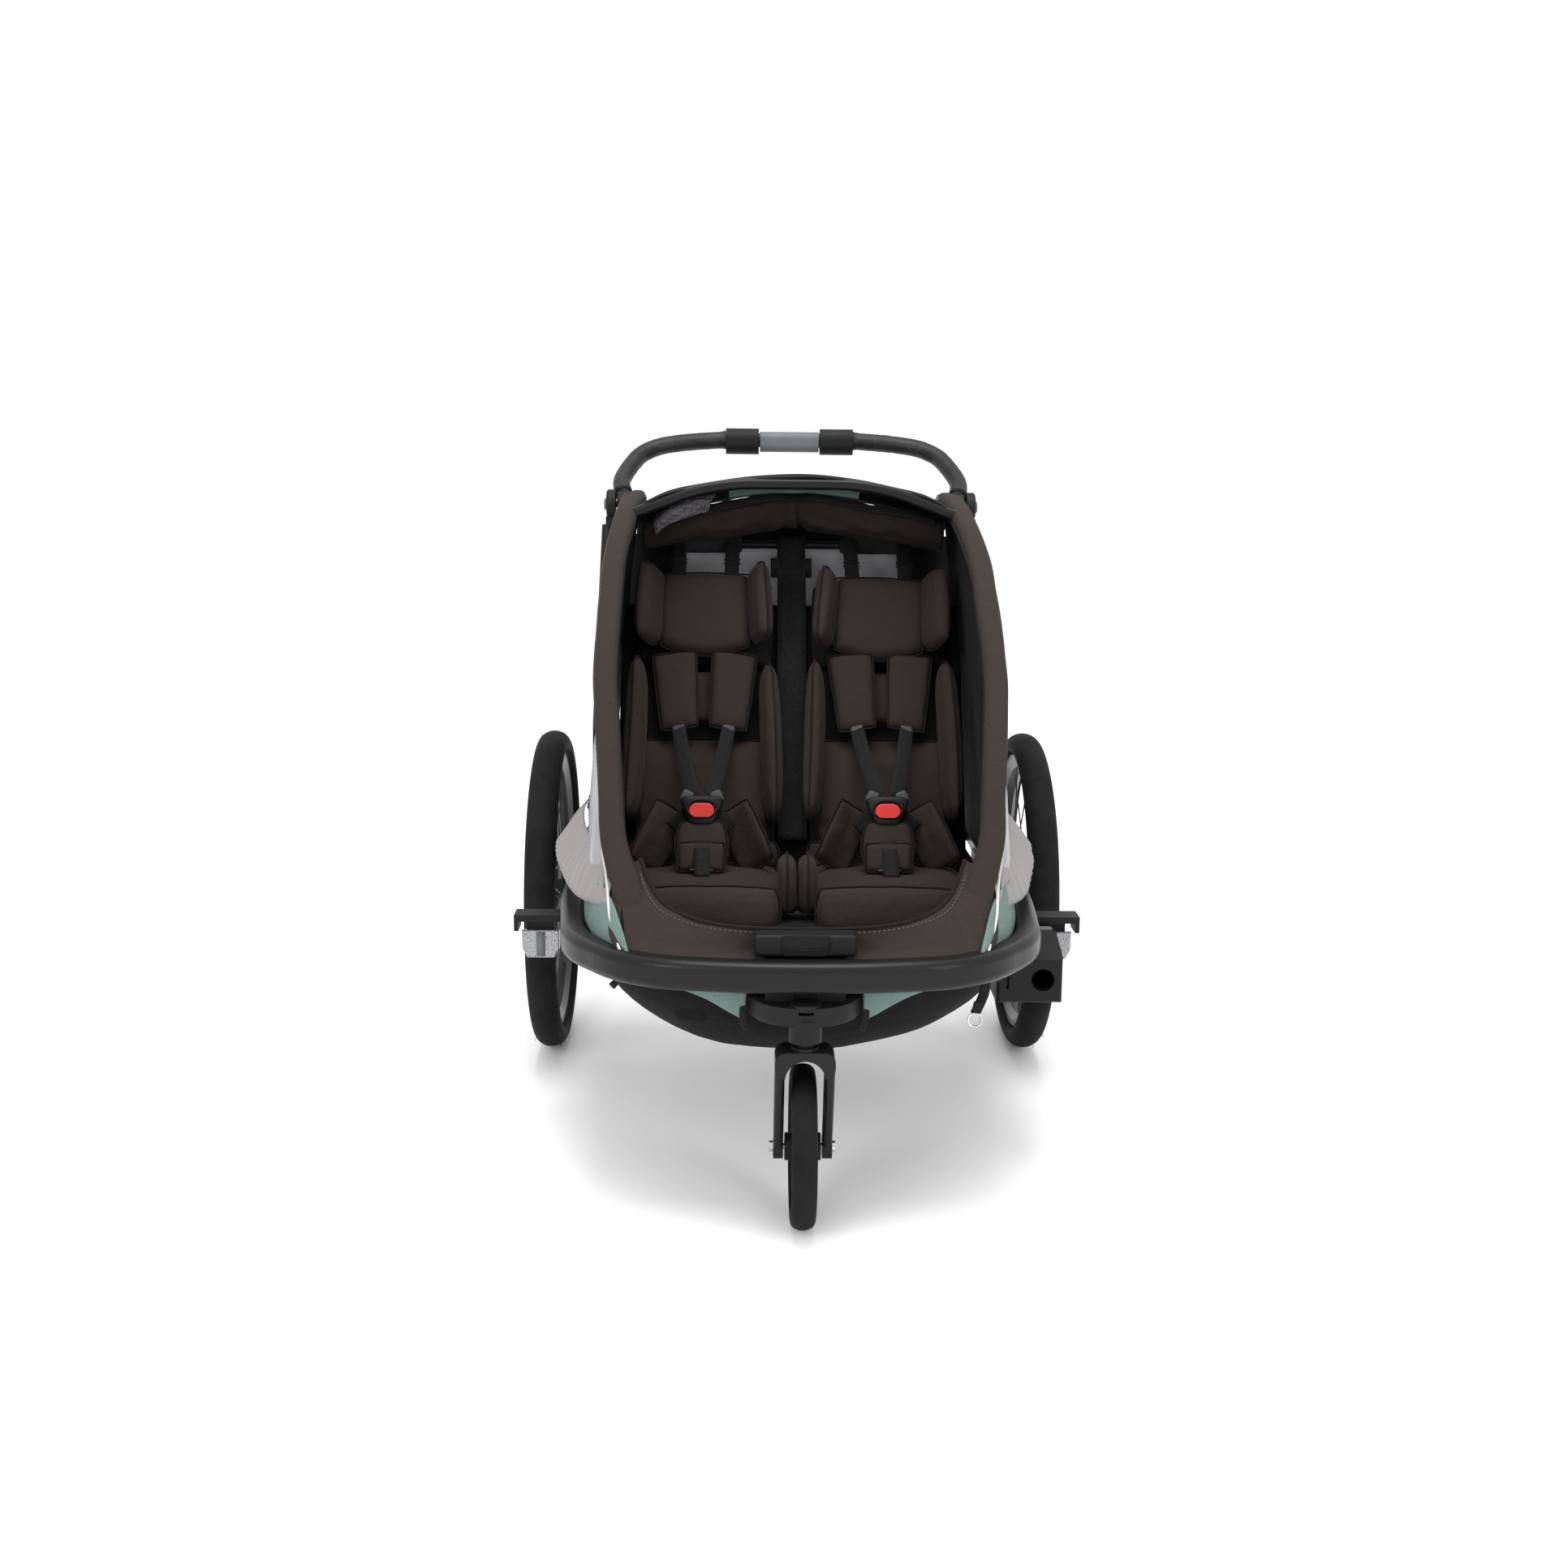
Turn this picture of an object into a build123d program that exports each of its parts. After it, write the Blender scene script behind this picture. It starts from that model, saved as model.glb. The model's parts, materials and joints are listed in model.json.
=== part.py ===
from build123d import *
import math
import os

# Two-seat child bicycle trailer with a caster wheel for strolling.
# The design frame has x to the trailer's left-right, y to the rear, z up, the rear axle over y = 0
# and the ground at z = 0. Every node is moved by frame_shift when it is written, so that the
# stored origin is under the middle of the whole object.

# ---- driving dimensions, millimetres ----
wheel_radius = 250.0
wheel_track = 744.0
tyre_section = 46.0
axle_pin_radius = 6.0
running_gap = 0.06

caster_radius = 101.0
caster_width = 31.0
caster_axle_y = -730.0
caster_swivel_y = -778.0

bumper_front = -797.0
bumper_half_width = 305.0
bumper_z = 331.0
bumper_width = 34.0
bumper_height = 38.0
bumper_rear = 62.0

rear_hinge_y = 40.0
rear_hinge_z = 378.0
front_hinge_y = -672.0
front_hinge_z = 352.0
corner_y = 75.0
corner_z = 852.0
hinge_pin_radius = 5.0

pillar_radius = 11.0
tube_wall = 1.6
roof_arc_radius = 802.0
upright_radius = 11.0
sleeve_radius = 16.0

handle_angle = 34.3
handle_reach = 179.0
handle_radius = 11.5

seat_x = 133.0
seat_width = 244.0
crease_y = -180.0
crease_z = 335.0
back_tilt = 26.3

frame_shift = Vector(0, (caster_radius - caster_axle_y - wheel_radius) / 2, 0)

os.makedirs("parts", exist_ok=True)


def save(name, *solids):
    """Writes one node from its separate solids, moved into the stored frame."""
    placed = [s.moved(Location(frame_shift)) for s in solids]
    export_step(placed[0] if len(placed) == 1 else Compound(children=placed), f"parts/{name}.step")


def mirrored(solid):
    """The same solid on the other side of the x = 0 plane."""
    return solid.mirror(Plane.YZ)


def pair(solid):
    return [solid, mirrored(solid)]


def bar_x(radius, x0, x1, y, z, bore=0.0):
    """A round bar or tube along x."""
    bar = Cylinder(radius, abs(x1 - x0)).rotate(Axis.Y, 90)
    if bore:
        bar -= Cylinder(bore, abs(x1 - x0) + 2).rotate(Axis.Y, 90)
    return bar.moved(Location(((x0 + x1) / 2, y, z))).solid()


def bent_tube(points, radii, radius, bore=0.0):
    """A tube of straight runs joined by tangent arcs."""
    path = FilletPolyline(*points, radius=radii)
    start = Plane(origin=path @ 0, z_dir=path % 0)
    section = Circle(radius) - Circle(bore) if bore else Circle(radius)
    return sweep(start * section, path=path).solid()


def rounded_box(size, centre, radius, tilt=0.0, roll=0.0, turn=0.0):
    """A box with all its edges rounded, tilted about x, rolled about y and turned about z."""
    box = fillet(Box(*size).edges(), radius)
    box = box.rotate(Axis.Y, roll).rotate(Axis.X, tilt).rotate(Axis.Z, turn)
    return box.moved(Location(centre)).solid()


def back_point(distance, forward=0.0):
    """A point (y, z) on the seat back, at a distance up from the seat crease."""
    lean = math.radians(back_tilt)
    y = crease_y + distance * math.sin(lean) - forward * math.cos(lean)
    z = crease_z + distance * math.cos(lean) + forward * math.sin(lean)
    return y, z


front_foot_x = 203.0


# ---- chassis ----
def bumper_loop():
    side = bumper_half_width
    front = bumper_front + bumper_width / 2 - 10
    right = [(side, bumper_rear), (side, -420), (286, -640), (206, front + 34)]
    left = [(-x, y) for x, y in reversed(right)]
    radii = [1400, 170, 150, 780, 150, 170, 1400]
    points = [(x, y, bumper_z) for x, y in right + [(0, front)] + left]
    path = FilletPolyline(*points, radius=radii)
    start = Plane(origin=path @ 0, x_dir=(1, 0, 0), z_dir=path % 0)
    section = RectangleRounded(bumper_width, bumper_height, 11)
    return sweep(start * section, path=path).solid()


def cross_tubes():
    inner = bumper_half_width - bumper_width / 2
    rear = bar_x(10, -inner, inner, bumper_rear - 14, bumper_z - 2, bore=8)
    front = bar_x(7, 4 - inner, inner - 4, -440, bumper_z - 11)
    return [rear, front]


beam_radius = 14.0
hanger_x = bumper_half_width - 1
hub_half = 19.0
wheel_x = wheel_track / 2
brake_y = 34.0
brake_z = 268.0


def axle_beam():
    return bar_x(beam_radius, 1 - hanger_x, hanger_x - 1, 0, wheel_radius, bore=beam_radius - 2.5)


def axle_hanger():
    """Plate from the chassis rail down to the axle beam, with the wheel's axle socket."""
    z0, z1 = 226.0, bumper_z - bumper_height / 2
    plate = Box(14, 100, z1 - z0).moved(Location((hanger_x, 0, (z0 + z1) / 2)))
    plate = fillet(plate.edges().filter_by(Axis.X).group_by(Axis.Z)[0], 20)
    socket = bar_x(16, hanger_x, wheel_x - hub_half - 2, 0, wheel_radius)
    hanger = plate + socket
    hanger -= bar_x(axle_pin_radius, hanger_x - 1, hanger_x + 80, 0, wheel_radius)
    hanger -= bar_x(beam_radius, hanger_x - 30, hanger_x - 1, 0, wheel_radius)
    hanger -= bar_x(6 + running_gap, hanger_x - 30, hanger_x + 30, brake_y, brake_z)
    return hanger.solid()


def wheel_axle():
    """Quick-release axle pin with its domed cap outside the hub."""
    outer_x = wheel_x + hub_half + 0.4
    pin = bar_x(axle_pin_radius, hanger_x - 1, outer_x, 0, wheel_radius)
    cap = bar_x(12, outer_x, outer_x + 5, 0, wheel_radius)
    cap = fillet(cap.edges().group_by(Axis.X)[-1], 2)
    return (pin + cap).solid()


def brake_bar():
    """Cross shaft with the foot pedal behind it and a locking finger beside each hub."""
    end = wheel_x - hub_half - 4
    bar = bar_x(6, -end, end, brake_y, brake_z)
    for side in (-1, 1):
        finger = Box(6, 9, 34).moved(Location((side * (end - 3), brake_y, brake_z + 15)))
        bar += finger
    arm = rounded_box((16, 110, 9), (-120, brake_y + 56, brake_z - 5), 3, tilt=-6)
    pad = rounded_box((74, 40, 14), (-120, brake_y + 118, brake_z - 12), 5, tilt=-6)
    return (bar + arm + pad).solid()


def rear_hinge_bracket():
    """Clevis on the chassis rail that carries the foot of the rear upright."""
    x, y = bumper_half_width - 3, rear_hinge_y
    top = rear_hinge_z + 15
    base = bumper_z + bumper_height / 2
    block = Box(34, 34, top - base).moved(Location((x, y, (top + base) / 2)))
    block = fillet(block.edges().filter_by(Axis.X).group_by(Axis.Z)[-1], 14)
    slot = Box(2 * upright_radius + 1.2, 80, top - base - 4)
    block -= slot.moved(Location((x, y, top - (top - base - 4) / 2)))
    block -= bar_x(hinge_pin_radius, x - 30, x + 30, y, rear_hinge_z)
    return block.solid()


def front_hinge_bracket():
    """Clevis behind the bumper that carries the foot of the front pillar."""
    x, y = front_foot_x, front_hinge_y
    top, bottom = front_hinge_z + 13, 314.0
    block = Box(46, 30, top - bottom).moved(Location((x, y, (top + bottom) / 2)))
    block = fillet(block.edges().filter_by(Axis.X).group_by(Axis.Z)[-1], 12)
    arm = Box(36, 40, 16).moved(Location((x, y - 30, 322)))
    slot = Box(30, 80, 36).moved(Location((x, y, top - 18 + 1)))
    block = block + arm - slot
    block -= bar_x(hinge_pin_radius, x - 30, x + 30, y, front_hinge_z)
    block -= bumper_loop()
    return block.solids().sort_by(SortBy.VOLUME)[-1]


def hinge_bolt(x, y, z, half_length):
    bolt = bar_x(hinge_pin_radius, x - half_length, x + half_length, y, z)
    for side in (-1, 1):
        head = bar_x(8, x + side * half_length, x + side * (half_length + 3), y, z)
        bolt += head
    return bolt.solid()


def hinge_bolts():
    rear = hinge_bolt(bumper_half_width - 3, rear_hinge_y, rear_hinge_z, 17)
    front = hinge_bolt(front_foot_x, front_hinge_y, front_hinge_z, 23)
    return pair(rear) + pair(front)


# ---- caster ----
stem_radius = 11.0
mount_top = 296.0
mount_bottom = 272.0
collar_bottom = 252.0
release_radius = 19.5


def caster_mount():
    """Half-round block under the bumper with the swivel bearing's collar and a rear bracket."""
    y = caster_swivel_y
    height = mount_top - mount_bottom
    middle = Location((0, y + 50, mount_bottom + height / 2))
    front = Cylinder(68, height) & Box(140, 140, height).moved(Location((0, -70, 0)))
    back = Box(136, 40, height).moved(Location((0, 20, 0)))
    block = fillet((front + back).edges().group_by(Axis.Z)[0], 5).moved(middle)
    bracket = Box(96, 30, 50).moved(Location((0, y + 29, mount_top + 24)))
    collar = Cylinder(20, mount_bottom - collar_bottom + 8)
    block += collar.moved(Location((0, y, (mount_bottom + 8 + collar_bottom) / 2)))
    block = block + bracket - bumper_loop()
    block -= Cylinder(stem_radius + running_gap, 40).moved(Location((0, y, collar_bottom + 14)))
    block -= Cylinder(release_radius + running_gap, 20).moved(Location((0, y, mount_top + 2)))
    return block.solids().sort_by(SortBy.VOLUME)[-1]


def caster_release():
    """Round release button in the top of the caster's block, over the swivel stem."""
    button = Cylinder(release_radius, 7).moved(Location((0, caster_swivel_y, mount_top - 0.5)))
    return fillet(button.edges().group_by(Axis.Z)[-1], 1.5).solid()


def caster_fork():
    crown_top, crown_z = 244.0, 214.0
    y0, y1 = caster_swivel_y, caster_axle_y
    stem = Cylinder(stem_radius, 42).moved(Location((0, y0, crown_top + 17)))
    washer = Cylinder(17, 6).moved(Location((0, y0, crown_top - 1)))
    crown = fillet(Box(72, 44, 32).edges().filter_by(Axis.Y), 13)
    crown = crown.moved(Location((0, y0 + 3, crown_z + 12)))
    fork = stem + washer + crown
    for side in (-1, 1):
        top = Plane(origin=(side * 30, y0 + 4, crown_z + 8), z_dir=(0, 0, -1))
        low = Plane(origin=(side * 30, y1, caster_radius), z_dir=(0, 0, -1))
        leg = loft([top * RectangleRounded(12, 36, 4), low * RectangleRounded(12, 26, 4)])
        fork += leg
        fork += bar_x(15, side * 24, side * 36, y1, caster_radius)
    arch = Cylinder(24, 60).rotate(Axis.X, 90).moved(Location((0, y0, crown_z - 6)))
    keep = Box(47, 90, 60).moved(Location((0, y0 + 10, crown_z - 36)))
    fork = fork - arch - keep
    fork -= bar_x(4.0, -60, 60, y1, caster_radius)
    return fork.solids().sort_by(SortBy.VOLUME)[-1]


def caster_axle_bolt():
    y, z = caster_axle_y, caster_radius
    bolt = bar_x(4.0, -36, 36, y, z)
    head = extrude(Plane.YZ * RegularPolygon(7, 6), 5)
    bolt += head.moved(Location((-41, y, z))) + bar_x(7, 36, 40, y, z)
    return bolt.solid()


def ring_profile(outer, inner, width, corner):
    """A ring about the x axis, centred at the origin, with rounded outer shoulders."""
    ring = Cylinder(outer, width).rotate(Axis.Y, 90)
    ring = fillet(ring.edges(), corner)
    return ring - Cylinder(inner, width + 2).rotate(Axis.Y, 90)


def at_caster(solid):
    return solid.moved(Location((0, caster_axle_y, caster_radius))).solid()


def front_tyre():
    return at_caster(ring_profile(caster_radius, 76, caster_width, 12))


def front_rim():
    rim = Cylinder(75.9, 24).rotate(Axis.Y, 90) - Cylinder(66, 30).rotate(Axis.Y, 90)
    hub = Cylinder(17, 44).rotate(Axis.Y, 90)
    rim += hub
    for k in range(5):
        spoke = Box(12, 14, 56).moved(Location((0, 0, 41)))
        rim += spoke.rotate(Axis.X, 72 * k)
    rim -= Cylinder(4.0 + running_gap, 60).rotate(Axis.Y, 90)
    return at_caster(rim)


# ---- main wheels, built on the left and mirrored ----
rim_outer = wheel_radius - 34
rim_inner = rim_outer - 20
flange_x = hub_half - 5


def at_wheel(solid, side):
    return solid.moved(Location((side * wheel_x, 0, wheel_radius))).solid()


def tyre():
    section = Ellipse(tyre_section / 2, 22).moved(Location((0, wheel_radius - 22)))
    seat = Rectangle(60, 40).moved(Location((0, rim_outer - 20)))
    profile = Plane.XY * (section - seat)
    return revolve(profile, Axis.X)


def rim():
    outer, inner, half = rim_outer - 0.05, rim_inner, 14
    with BuildSketch(Plane.XY) as profile:
        with BuildLine():
            Polyline(
                (-half, outer),
                (-half, outer - 9),
                (-7, inner),
                (7, inner),
                (half, outer - 9),
                (half, outer),
                (-half, outer),
            )
        make_face()
    return revolve(profile.sketch, Axis.X)


def hub():
    body = Cylinder(14, 2 * hub_half).rotate(Axis.Y, 90)
    for x in (-flange_x, flange_x):
        body += Cylinder(23, 4).rotate(Axis.Y, 90).moved(Location((x, 0, 0)))
    return body - Cylinder(axle_pin_radius + running_gap, 80).rotate(Axis.Y, 90)


def spokes():
    """Twenty spokes, crossing from alternate hub flanges to the rim."""
    wires = []
    for k in range(20):
        flange = flange_x if k % 2 else -flange_x
        lead = 42 if k % 4 < 2 else -42
        a0, a1 = math.radians(18 * k + lead), math.radians(18 * k)
        start = Vector(flange, 19.5 * math.cos(a0), 19.5 * math.sin(a0))
        end = Vector(flange * 0.2, (rim_inner + 1) * math.cos(a1), (rim_inner + 1) * math.sin(a1))
        plane = Plane(origin=start, z_dir=end - start)
        wires.append(extrude(plane * Circle(1.1), (end - start).length))
    return wires


# ---- upper frame ----
pillar_end_x = 238.0
pillar_bend = 560.0
knuckle_x = 262.0
knuckle_half = 9.0
hub_x = 283.0


def pillar_points():
    """Corners of the pillar's centre line: a quarter-round climb from the bumper to the roof."""
    turn = math.degrees(math.acos((roof_arc_radius - (corner_z + 10 - front_hinge_z)) / roof_arc_radius))
    steps = 4
    piece = turn / steps
    reach = roof_arc_radius * math.tan(math.radians(piece / 2))
    widths = [200, 237, 257, 258, 246, pillar_end_x]
    y, z = front_hinge_y, front_hinge_z
    points, length = [(widths[0], y, z)], reach
    for k in range(steps + 1):
        angle = math.radians(turn - piece * k)
        y += length * math.cos(angle)
        z += length * math.sin(angle)
        points.append((widths[k + 1], y, z))
        length = 2 * reach if k < steps - 1 else reach
    return points


def pillar():
    points = pillar_points()
    tube = bent_tube(points, [pillar_bend] * (len(points) - 2), pillar_radius, pillar_radius - tube_wall)
    foot = bar_x(12, front_foot_x - 14, front_foot_x + 14, front_hinge_y, front_hinge_z)
    head = bar_x(20, pillar_end_x - 7, pillar_end_x + 7, corner_y, corner_z)
    tube = tube + foot + head
    tube -= bar_x(hinge_pin_radius + running_gap, 150, 250, front_hinge_y, front_hinge_z)
    tube -= bar_x(hinge_pin_radius + 1, 220, 300, corner_y, corner_z)
    tube -= Box(40, 40, 60).moved(Location((pillar_end_x, corner_y + 40, corner_z)))
    return tube.solid()


roof_bar_y = -112.0


def roof_bar():
    """Arched bar across the top of the opening, between the two pillars."""
    z = 842.0
    points = [(-246, roof_bar_y, z), (-120, roof_bar_y, z + 48), (120, roof_bar_y, z + 48), (246, roof_bar_y, z)]
    path = FilletPolyline(*points, radius=[330, 330])
    start = Plane(origin=path @ 0, x_dir=(0, 1, 0), z_dir=path % 0)
    bar = sweep(start * RectangleRounded(26, 16, 6), path=path)
    bar = bar - pillar() - mirrored(pillar())
    return bar.solids().sort_by(SortBy.VOLUME)[-1]


crossbar_y = 58.0
crossbar_z = 792.0


def headrest_crossbar():
    """Tube across the back of the cabin, hung from the pillars' rear ends by two lugs."""
    end = pillar_end_x - 7
    bar = bar_x(7, -end, end, crossbar_y, crossbar_z)
    for side in (-1, 1):
        lug = Box(5, 24, 74).moved(Location((side * (end - 2.5), crossbar_y + 8, crossbar_z + 30)))
        bar += lug
    bar = bar - pillar() - mirrored(pillar())
    return bar.solids().sort_by(SortBy.VOLUME)[-1]


def crossbar_foams():
    sleeve = bar_x(15, 76, 186, crossbar_y, crossbar_z, bore=7.2)
    return pair(sleeve)


# ---- rear hoop and handlebar ----
neck_drop = 31.6


def rear_upright():
    x0 = bumper_half_width - 3
    points = [
        (x0, rear_hinge_y, rear_hinge_z),
        (x0, rear_hinge_y + 9, rear_hinge_z + 130),
        (hub_x + 2, corner_y, corner_z),
    ]
    tube = bent_tube(points, [300], upright_radius, upright_radius - tube_wall)
    tube += bar_x(12.5, x0 - 10, x0 + 10, rear_hinge_y, rear_hinge_z)
    tube -= Box(80, 80, 80).moved(Location((hub_x, corner_y, corner_z - neck_drop + 40)))
    tube -= bar_x(hinge_pin_radius + running_gap, x0 - 40, x0 + 40, rear_hinge_y, rear_hinge_z)
    return tube.solids().sort_by(SortBy.VOLUME)[-1]


def upright_hub():
    """Round corner joint at the top of the upright, with its pin through the handlebar's knuckle."""
    inner, outer = hub_x - 7, hub_x + 7
    hub = bar_x(23, inner, outer, corner_y, corner_z)
    hub = fillet(hub.edges().group_by(Axis.X)[-1], 4)
    neck = Box(16, 20, 14).moved(Location((hub_x, corner_y - 2, corner_z - 26)))
    neck -= bar_x(22, inner - 9, outer + 9, corner_y, corner_z)
    neck -= Box(60, 60, 20).moved(Location((hub_x, corner_y, corner_z - neck_drop - 10)))
    pin = bar_x(hinge_pin_radius, knuckle_x - knuckle_half, inner, corner_y, corner_z)
    hub = hub + neck + pin
    return (hub - bar_x(9 + running_gap, outer - 7, outer + 5, corner_y, corner_z)).solid()


def handle_button():
    """Round lock button on the outer face of the corner joint."""
    button = bar_x(9, hub_x + 4, hub_x + 11, corner_y, corner_z)
    return fillet(button.edges().group_by(Axis.X)[-1], 2).solid()


def in_handle_plane(x, reach):
    """A point of the handlebar: x across, reach away from the hinge line."""
    lift = math.radians(handle_angle)
    return x, corner_y + reach * math.cos(lift), corner_z + reach * math.sin(lift)


def handle_points():
    right = [(knuckle_x, 14), (270, 54), (252, 122), (198, 168), (112, handle_reach)]
    outline = right + [(-x, reach) for x, reach in reversed(right)]
    return [in_handle_plane(x, reach) for x, reach in outline]


handle_radii = [70, 70, 90, 160, 160, 90, 70, 70]


def handlebar_tube():
    return bent_tube(handle_points(), handle_radii, handle_radius, handle_radius - tube_wall)


def handle_knuckle():
    """Hinged end of the handlebar, turning on the corner joint's pin."""
    knuckle = bar_x(19, knuckle_x - knuckle_half, knuckle_x + 11, corner_y, corner_z)
    knuckle = fillet(knuckle.edges(), 2)
    path = Polyline(*handle_points()[:2])
    start = Plane(origin=path @ 0, z_dir=path % 0)
    knuckle -= extrude(start * Circle(handle_radius), 40)
    knuckle -= handlebar_tube()
    return (knuckle - bar_x(hinge_pin_radius + running_gap, 200, 300, corner_y, corner_z)).solid()


def handle_piece(x0, x1, outer, drop=0.0):
    """A shell round the straight middle of the handlebar, from x0 to x1."""
    middle = Vector(in_handle_plane((x0 + x1) / 2, handle_reach))
    shell = fillet(Box(x1 - x0, 2 * outer, 2 * outer + drop).edges().filter_by(Axis.X), outer - 2)
    shell = shell.moved(Location((0, 0, -drop / 2)))
    shell -= Cylinder(handle_radius, 400).rotate(Axis.Y, 90)
    return shell.moved(Location(middle)).solid()


def handle_sleeve():
    """Stitched sleeve over the bend, from the knuckle to the middle clamp."""
    sleeve = bent_tube(handle_points(), handle_radii, handle_radius + 2.4, handle_radius)
    half = Box(200, 600, 600).moved(Location((handle_clamp_outer + 2 + 100, corner_y, corner_z)))
    foot = Box(80, 60, 60).moved(Location((knuckle_x, corner_y, corner_z)))
    return ((sleeve & half) - foot).solids().sort_by(SortBy.VOLUME)[-1]


handle_grip_half = 48.0
handle_clamp_outer = 104.0


# ---- fittings on the chassis ----
arm_y = -450.0
rail_outer = bumper_half_width + bumper_width / 2


def reflector_arm():
    """Short arm off the rail with a turned-down tip and a tab for the reflector."""
    arm = Box(64, 36, 9).moved(Location((rail_outer + 27, arm_y, 320)))
    tip = Box(6, 36, 22).moved(Location((rail_outer + 56, arm_y, 313.5)))
    tab = Box(36, 5, 36).moved(Location((rail_outer + 24, arm_y, 300)))
    block = arm + tip + tab - bumper_loop()
    return block.solids().sort_by(SortBy.VOLUME)[-1]


def side_reflector():
    return rounded_box((51, 8, 38), (rail_outer + 24, arm_y - 6.5, 283), 3)


socket_x = 318.0
socket_z = 264.0
socket_radius = 15.0
receiver_front = -562.0
receiver_rear = -470.0


def receiver_outline():
    points = [
        (receiver_front, 233),
        (receiver_front, 292),
        (-500, 312),
        (receiver_rear, 312),
        (receiver_rear, 240),
        (-490, 233),
    ]
    return Polyline(*[(y, z) for y, z in points], close=True)


def hitch_receiver():
    """Box under the right-hand rail that the tow arm plugs into from the front."""
    side = Plane(origin=(258, 0, 0), x_dir=(0, 1, 0), z_dir=(1, 0, 0))
    block = extrude(side * make_face(receiver_outline()), 86)
    block = fillet(block.edges().group_by(Axis.Y)[0], 5)
    bore = Cylinder(socket_radius, 80).rotate(Axis.X, 90)
    block -= bore.moved(Location((socket_x, receiver_front + 39, socket_z)))
    block -= Box(4, 12, 20).moved(Location((272, receiver_front, 262)))
    block -= hitch_button_hole()
    return block.solid()


button_y = -483.0
button_x = 331.0


def hitch_button_hole():
    slot = extrude(Plane.XY.offset(300) * SlotOverall(20 + 2 * running_gap, 12 + 2 * running_gap), 14)
    return slot.moved(Location((button_x, button_y, 0)))


def hitch_button():
    button = extrude(Plane.XY.offset(305) * SlotOverall(20, 12), 10)
    return fillet(button.edges().group_by(Axis.Z)[-1], 2).moved(Location((button_x, button_y, 0))).solid()


def front_clip():
    clip = rounded_box((122, 30, 26), (0, -746, 363.2), 4)
    recess = Cylinder(30, 4).rotate(Axis.X, 90).moved(Location((0, -761, 366)))
    return (clip - recess).solid()


def d_ring_strap():
    return (rounded_box((12.5, 3, 48), (217.5, -722, 293.5), 1, roll=14) - bumper_loop()).solid()


def d_ring():
    ring = Torus(8.5, 1.3).rotate(Axis.X, 90).moved(Location((209.2, -722, 260.5)))
    return ring.solid()


def chassis_bolts():
    """Round-headed bolts through the hangers into the rails."""
    bolts = []
    for y in (-38, 38):
        bolt = bar_x(5, hanger_x + 7, hanger_x + 12, y, 300)
        bolts += pair(fillet(bolt.edges().group_by(Axis.X)[-1], 1.5).solid())
    return bolts


# ---- soft parts, as plain closed solids ----
def belly_fabric():
    """Footwell and under-seat tub of fabric, open at the top."""
    def tub(inset, floor):
        top = Plane(origin=(0, -470, 311), z_dir=(0, 0, 1)) * RectangleRounded(500 - 2 * inset, 530 - 2 * inset, 90)
        low = Plane(origin=(0, -430, floor), z_dir=(0, 0, 1)) * RectangleRounded(300 - 2 * inset, 380 - 2 * inset, 60)
        return loft([low, top])
    rim = 4.0
    shell = tub(0, 160) - tub(rim, 160 + rim)
    shell -= Box(140, 160, 60).moved(Location((0, -765, 296)))
    return shell.solids().sort_by(SortBy.VOLUME)[-1]


def seat_cushions():
    """Seat pads with their front rolls, and the two short bolsters between them."""
    pads = []
    for side in (-1, 1):
        x = side * seat_x
        pads.append(rounded_box((seat_width, 214, 30), (x, -302, 331), 12, tilt=-3))
        pads.append(rounded_box((seat_width - 40, 40, 44), (x + side * 6, -432, 352), 16))
        pads.append(rounded_box((20, 90, 60), (side * 13, -402, 380), 9))
    return pads


def back_pad(x, low, high, width, thick, forward=0.0):
    y, z = back_point((low + high) / 2, forward)
    return rounded_box((width, thick, high - low), (x, y, z), min(14, 0.45 * min(width, thick)), tilt=-back_tilt)


def both_seats(make):
    solids = []
    for side in (-1, 1):
        solids += make(side * seat_x)
    return solids


def back_pads():
    return both_seats(lambda x: [back_pad(x, 22, 300, 204, 34, 16)])


def upper_backs():
    return both_seats(lambda x: [back_pad(x, 304, 470, 226, 26, 14)])


def headrests():
    def one(x):
        pads = [back_pad(x, 322, 440, 138, 34, 48)]
        for side in (-1, 1):
            pads.append(back_pad(x + side * 84, 318, 448, 26, 74, 66))
        return pads
    return both_seats(one)


def bolsters():
    return both_seats(lambda x: [back_pad(x + side * 91, 60, 300, 22, 60, 66) for side in (-1, 1)])


def shoulder_pads():
    """Four shoulder pads with their straps running up to the back."""
    def one(x):
        pads = []
        for side in (-1, 1):
            pads.append(back_pad(x + side * 40, 190, 316, 50, 18, 50))
            pads.append(back_pad(x + side * 37, 126, 188, 24, 3, 60))
        return pads
    return both_seats(one)


buckle_y = -282.0
buckle_z = 430.0
buckle_tilt = -24.0


def on_buckle(solid, x):
    return solid.rotate(Axis.X, buckle_tilt).moved(Location((x, buckle_y, buckle_z))).solid()


def buckles():
    def one(x):
        body = fillet(Box(58, 18, 47).edges().filter_by(Axis.Y), 12)
        pocket = SlotOverall(36 + 2 * running_gap, 21 + 2 * running_gap)
        body -= extrude(Plane.XZ.offset(9) * pocket, -8)
        return [on_buckle(body, x)]
    return both_seats(one)


def buckle_button(x):
    button = extrude(Plane.XZ.offset(11) * SlotOverall(36, 21), -6)
    return on_buckle(fillet(button.edges().group_by(Axis.Y)[0], 1.5), x)


def crotch_pads():
    return both_seats(lambda x: [rounded_box((54, 18, 40), (x, -318, 374), 8, tilt=-28)])


def hip_pads():
    def one(x):
        return [rounded_box((18, 70, 74), (x + side * 70, -262, 392), 8, tilt=-20, turn=side * 12) for side in (-1, 1)]
    return both_seats(one)


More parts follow.
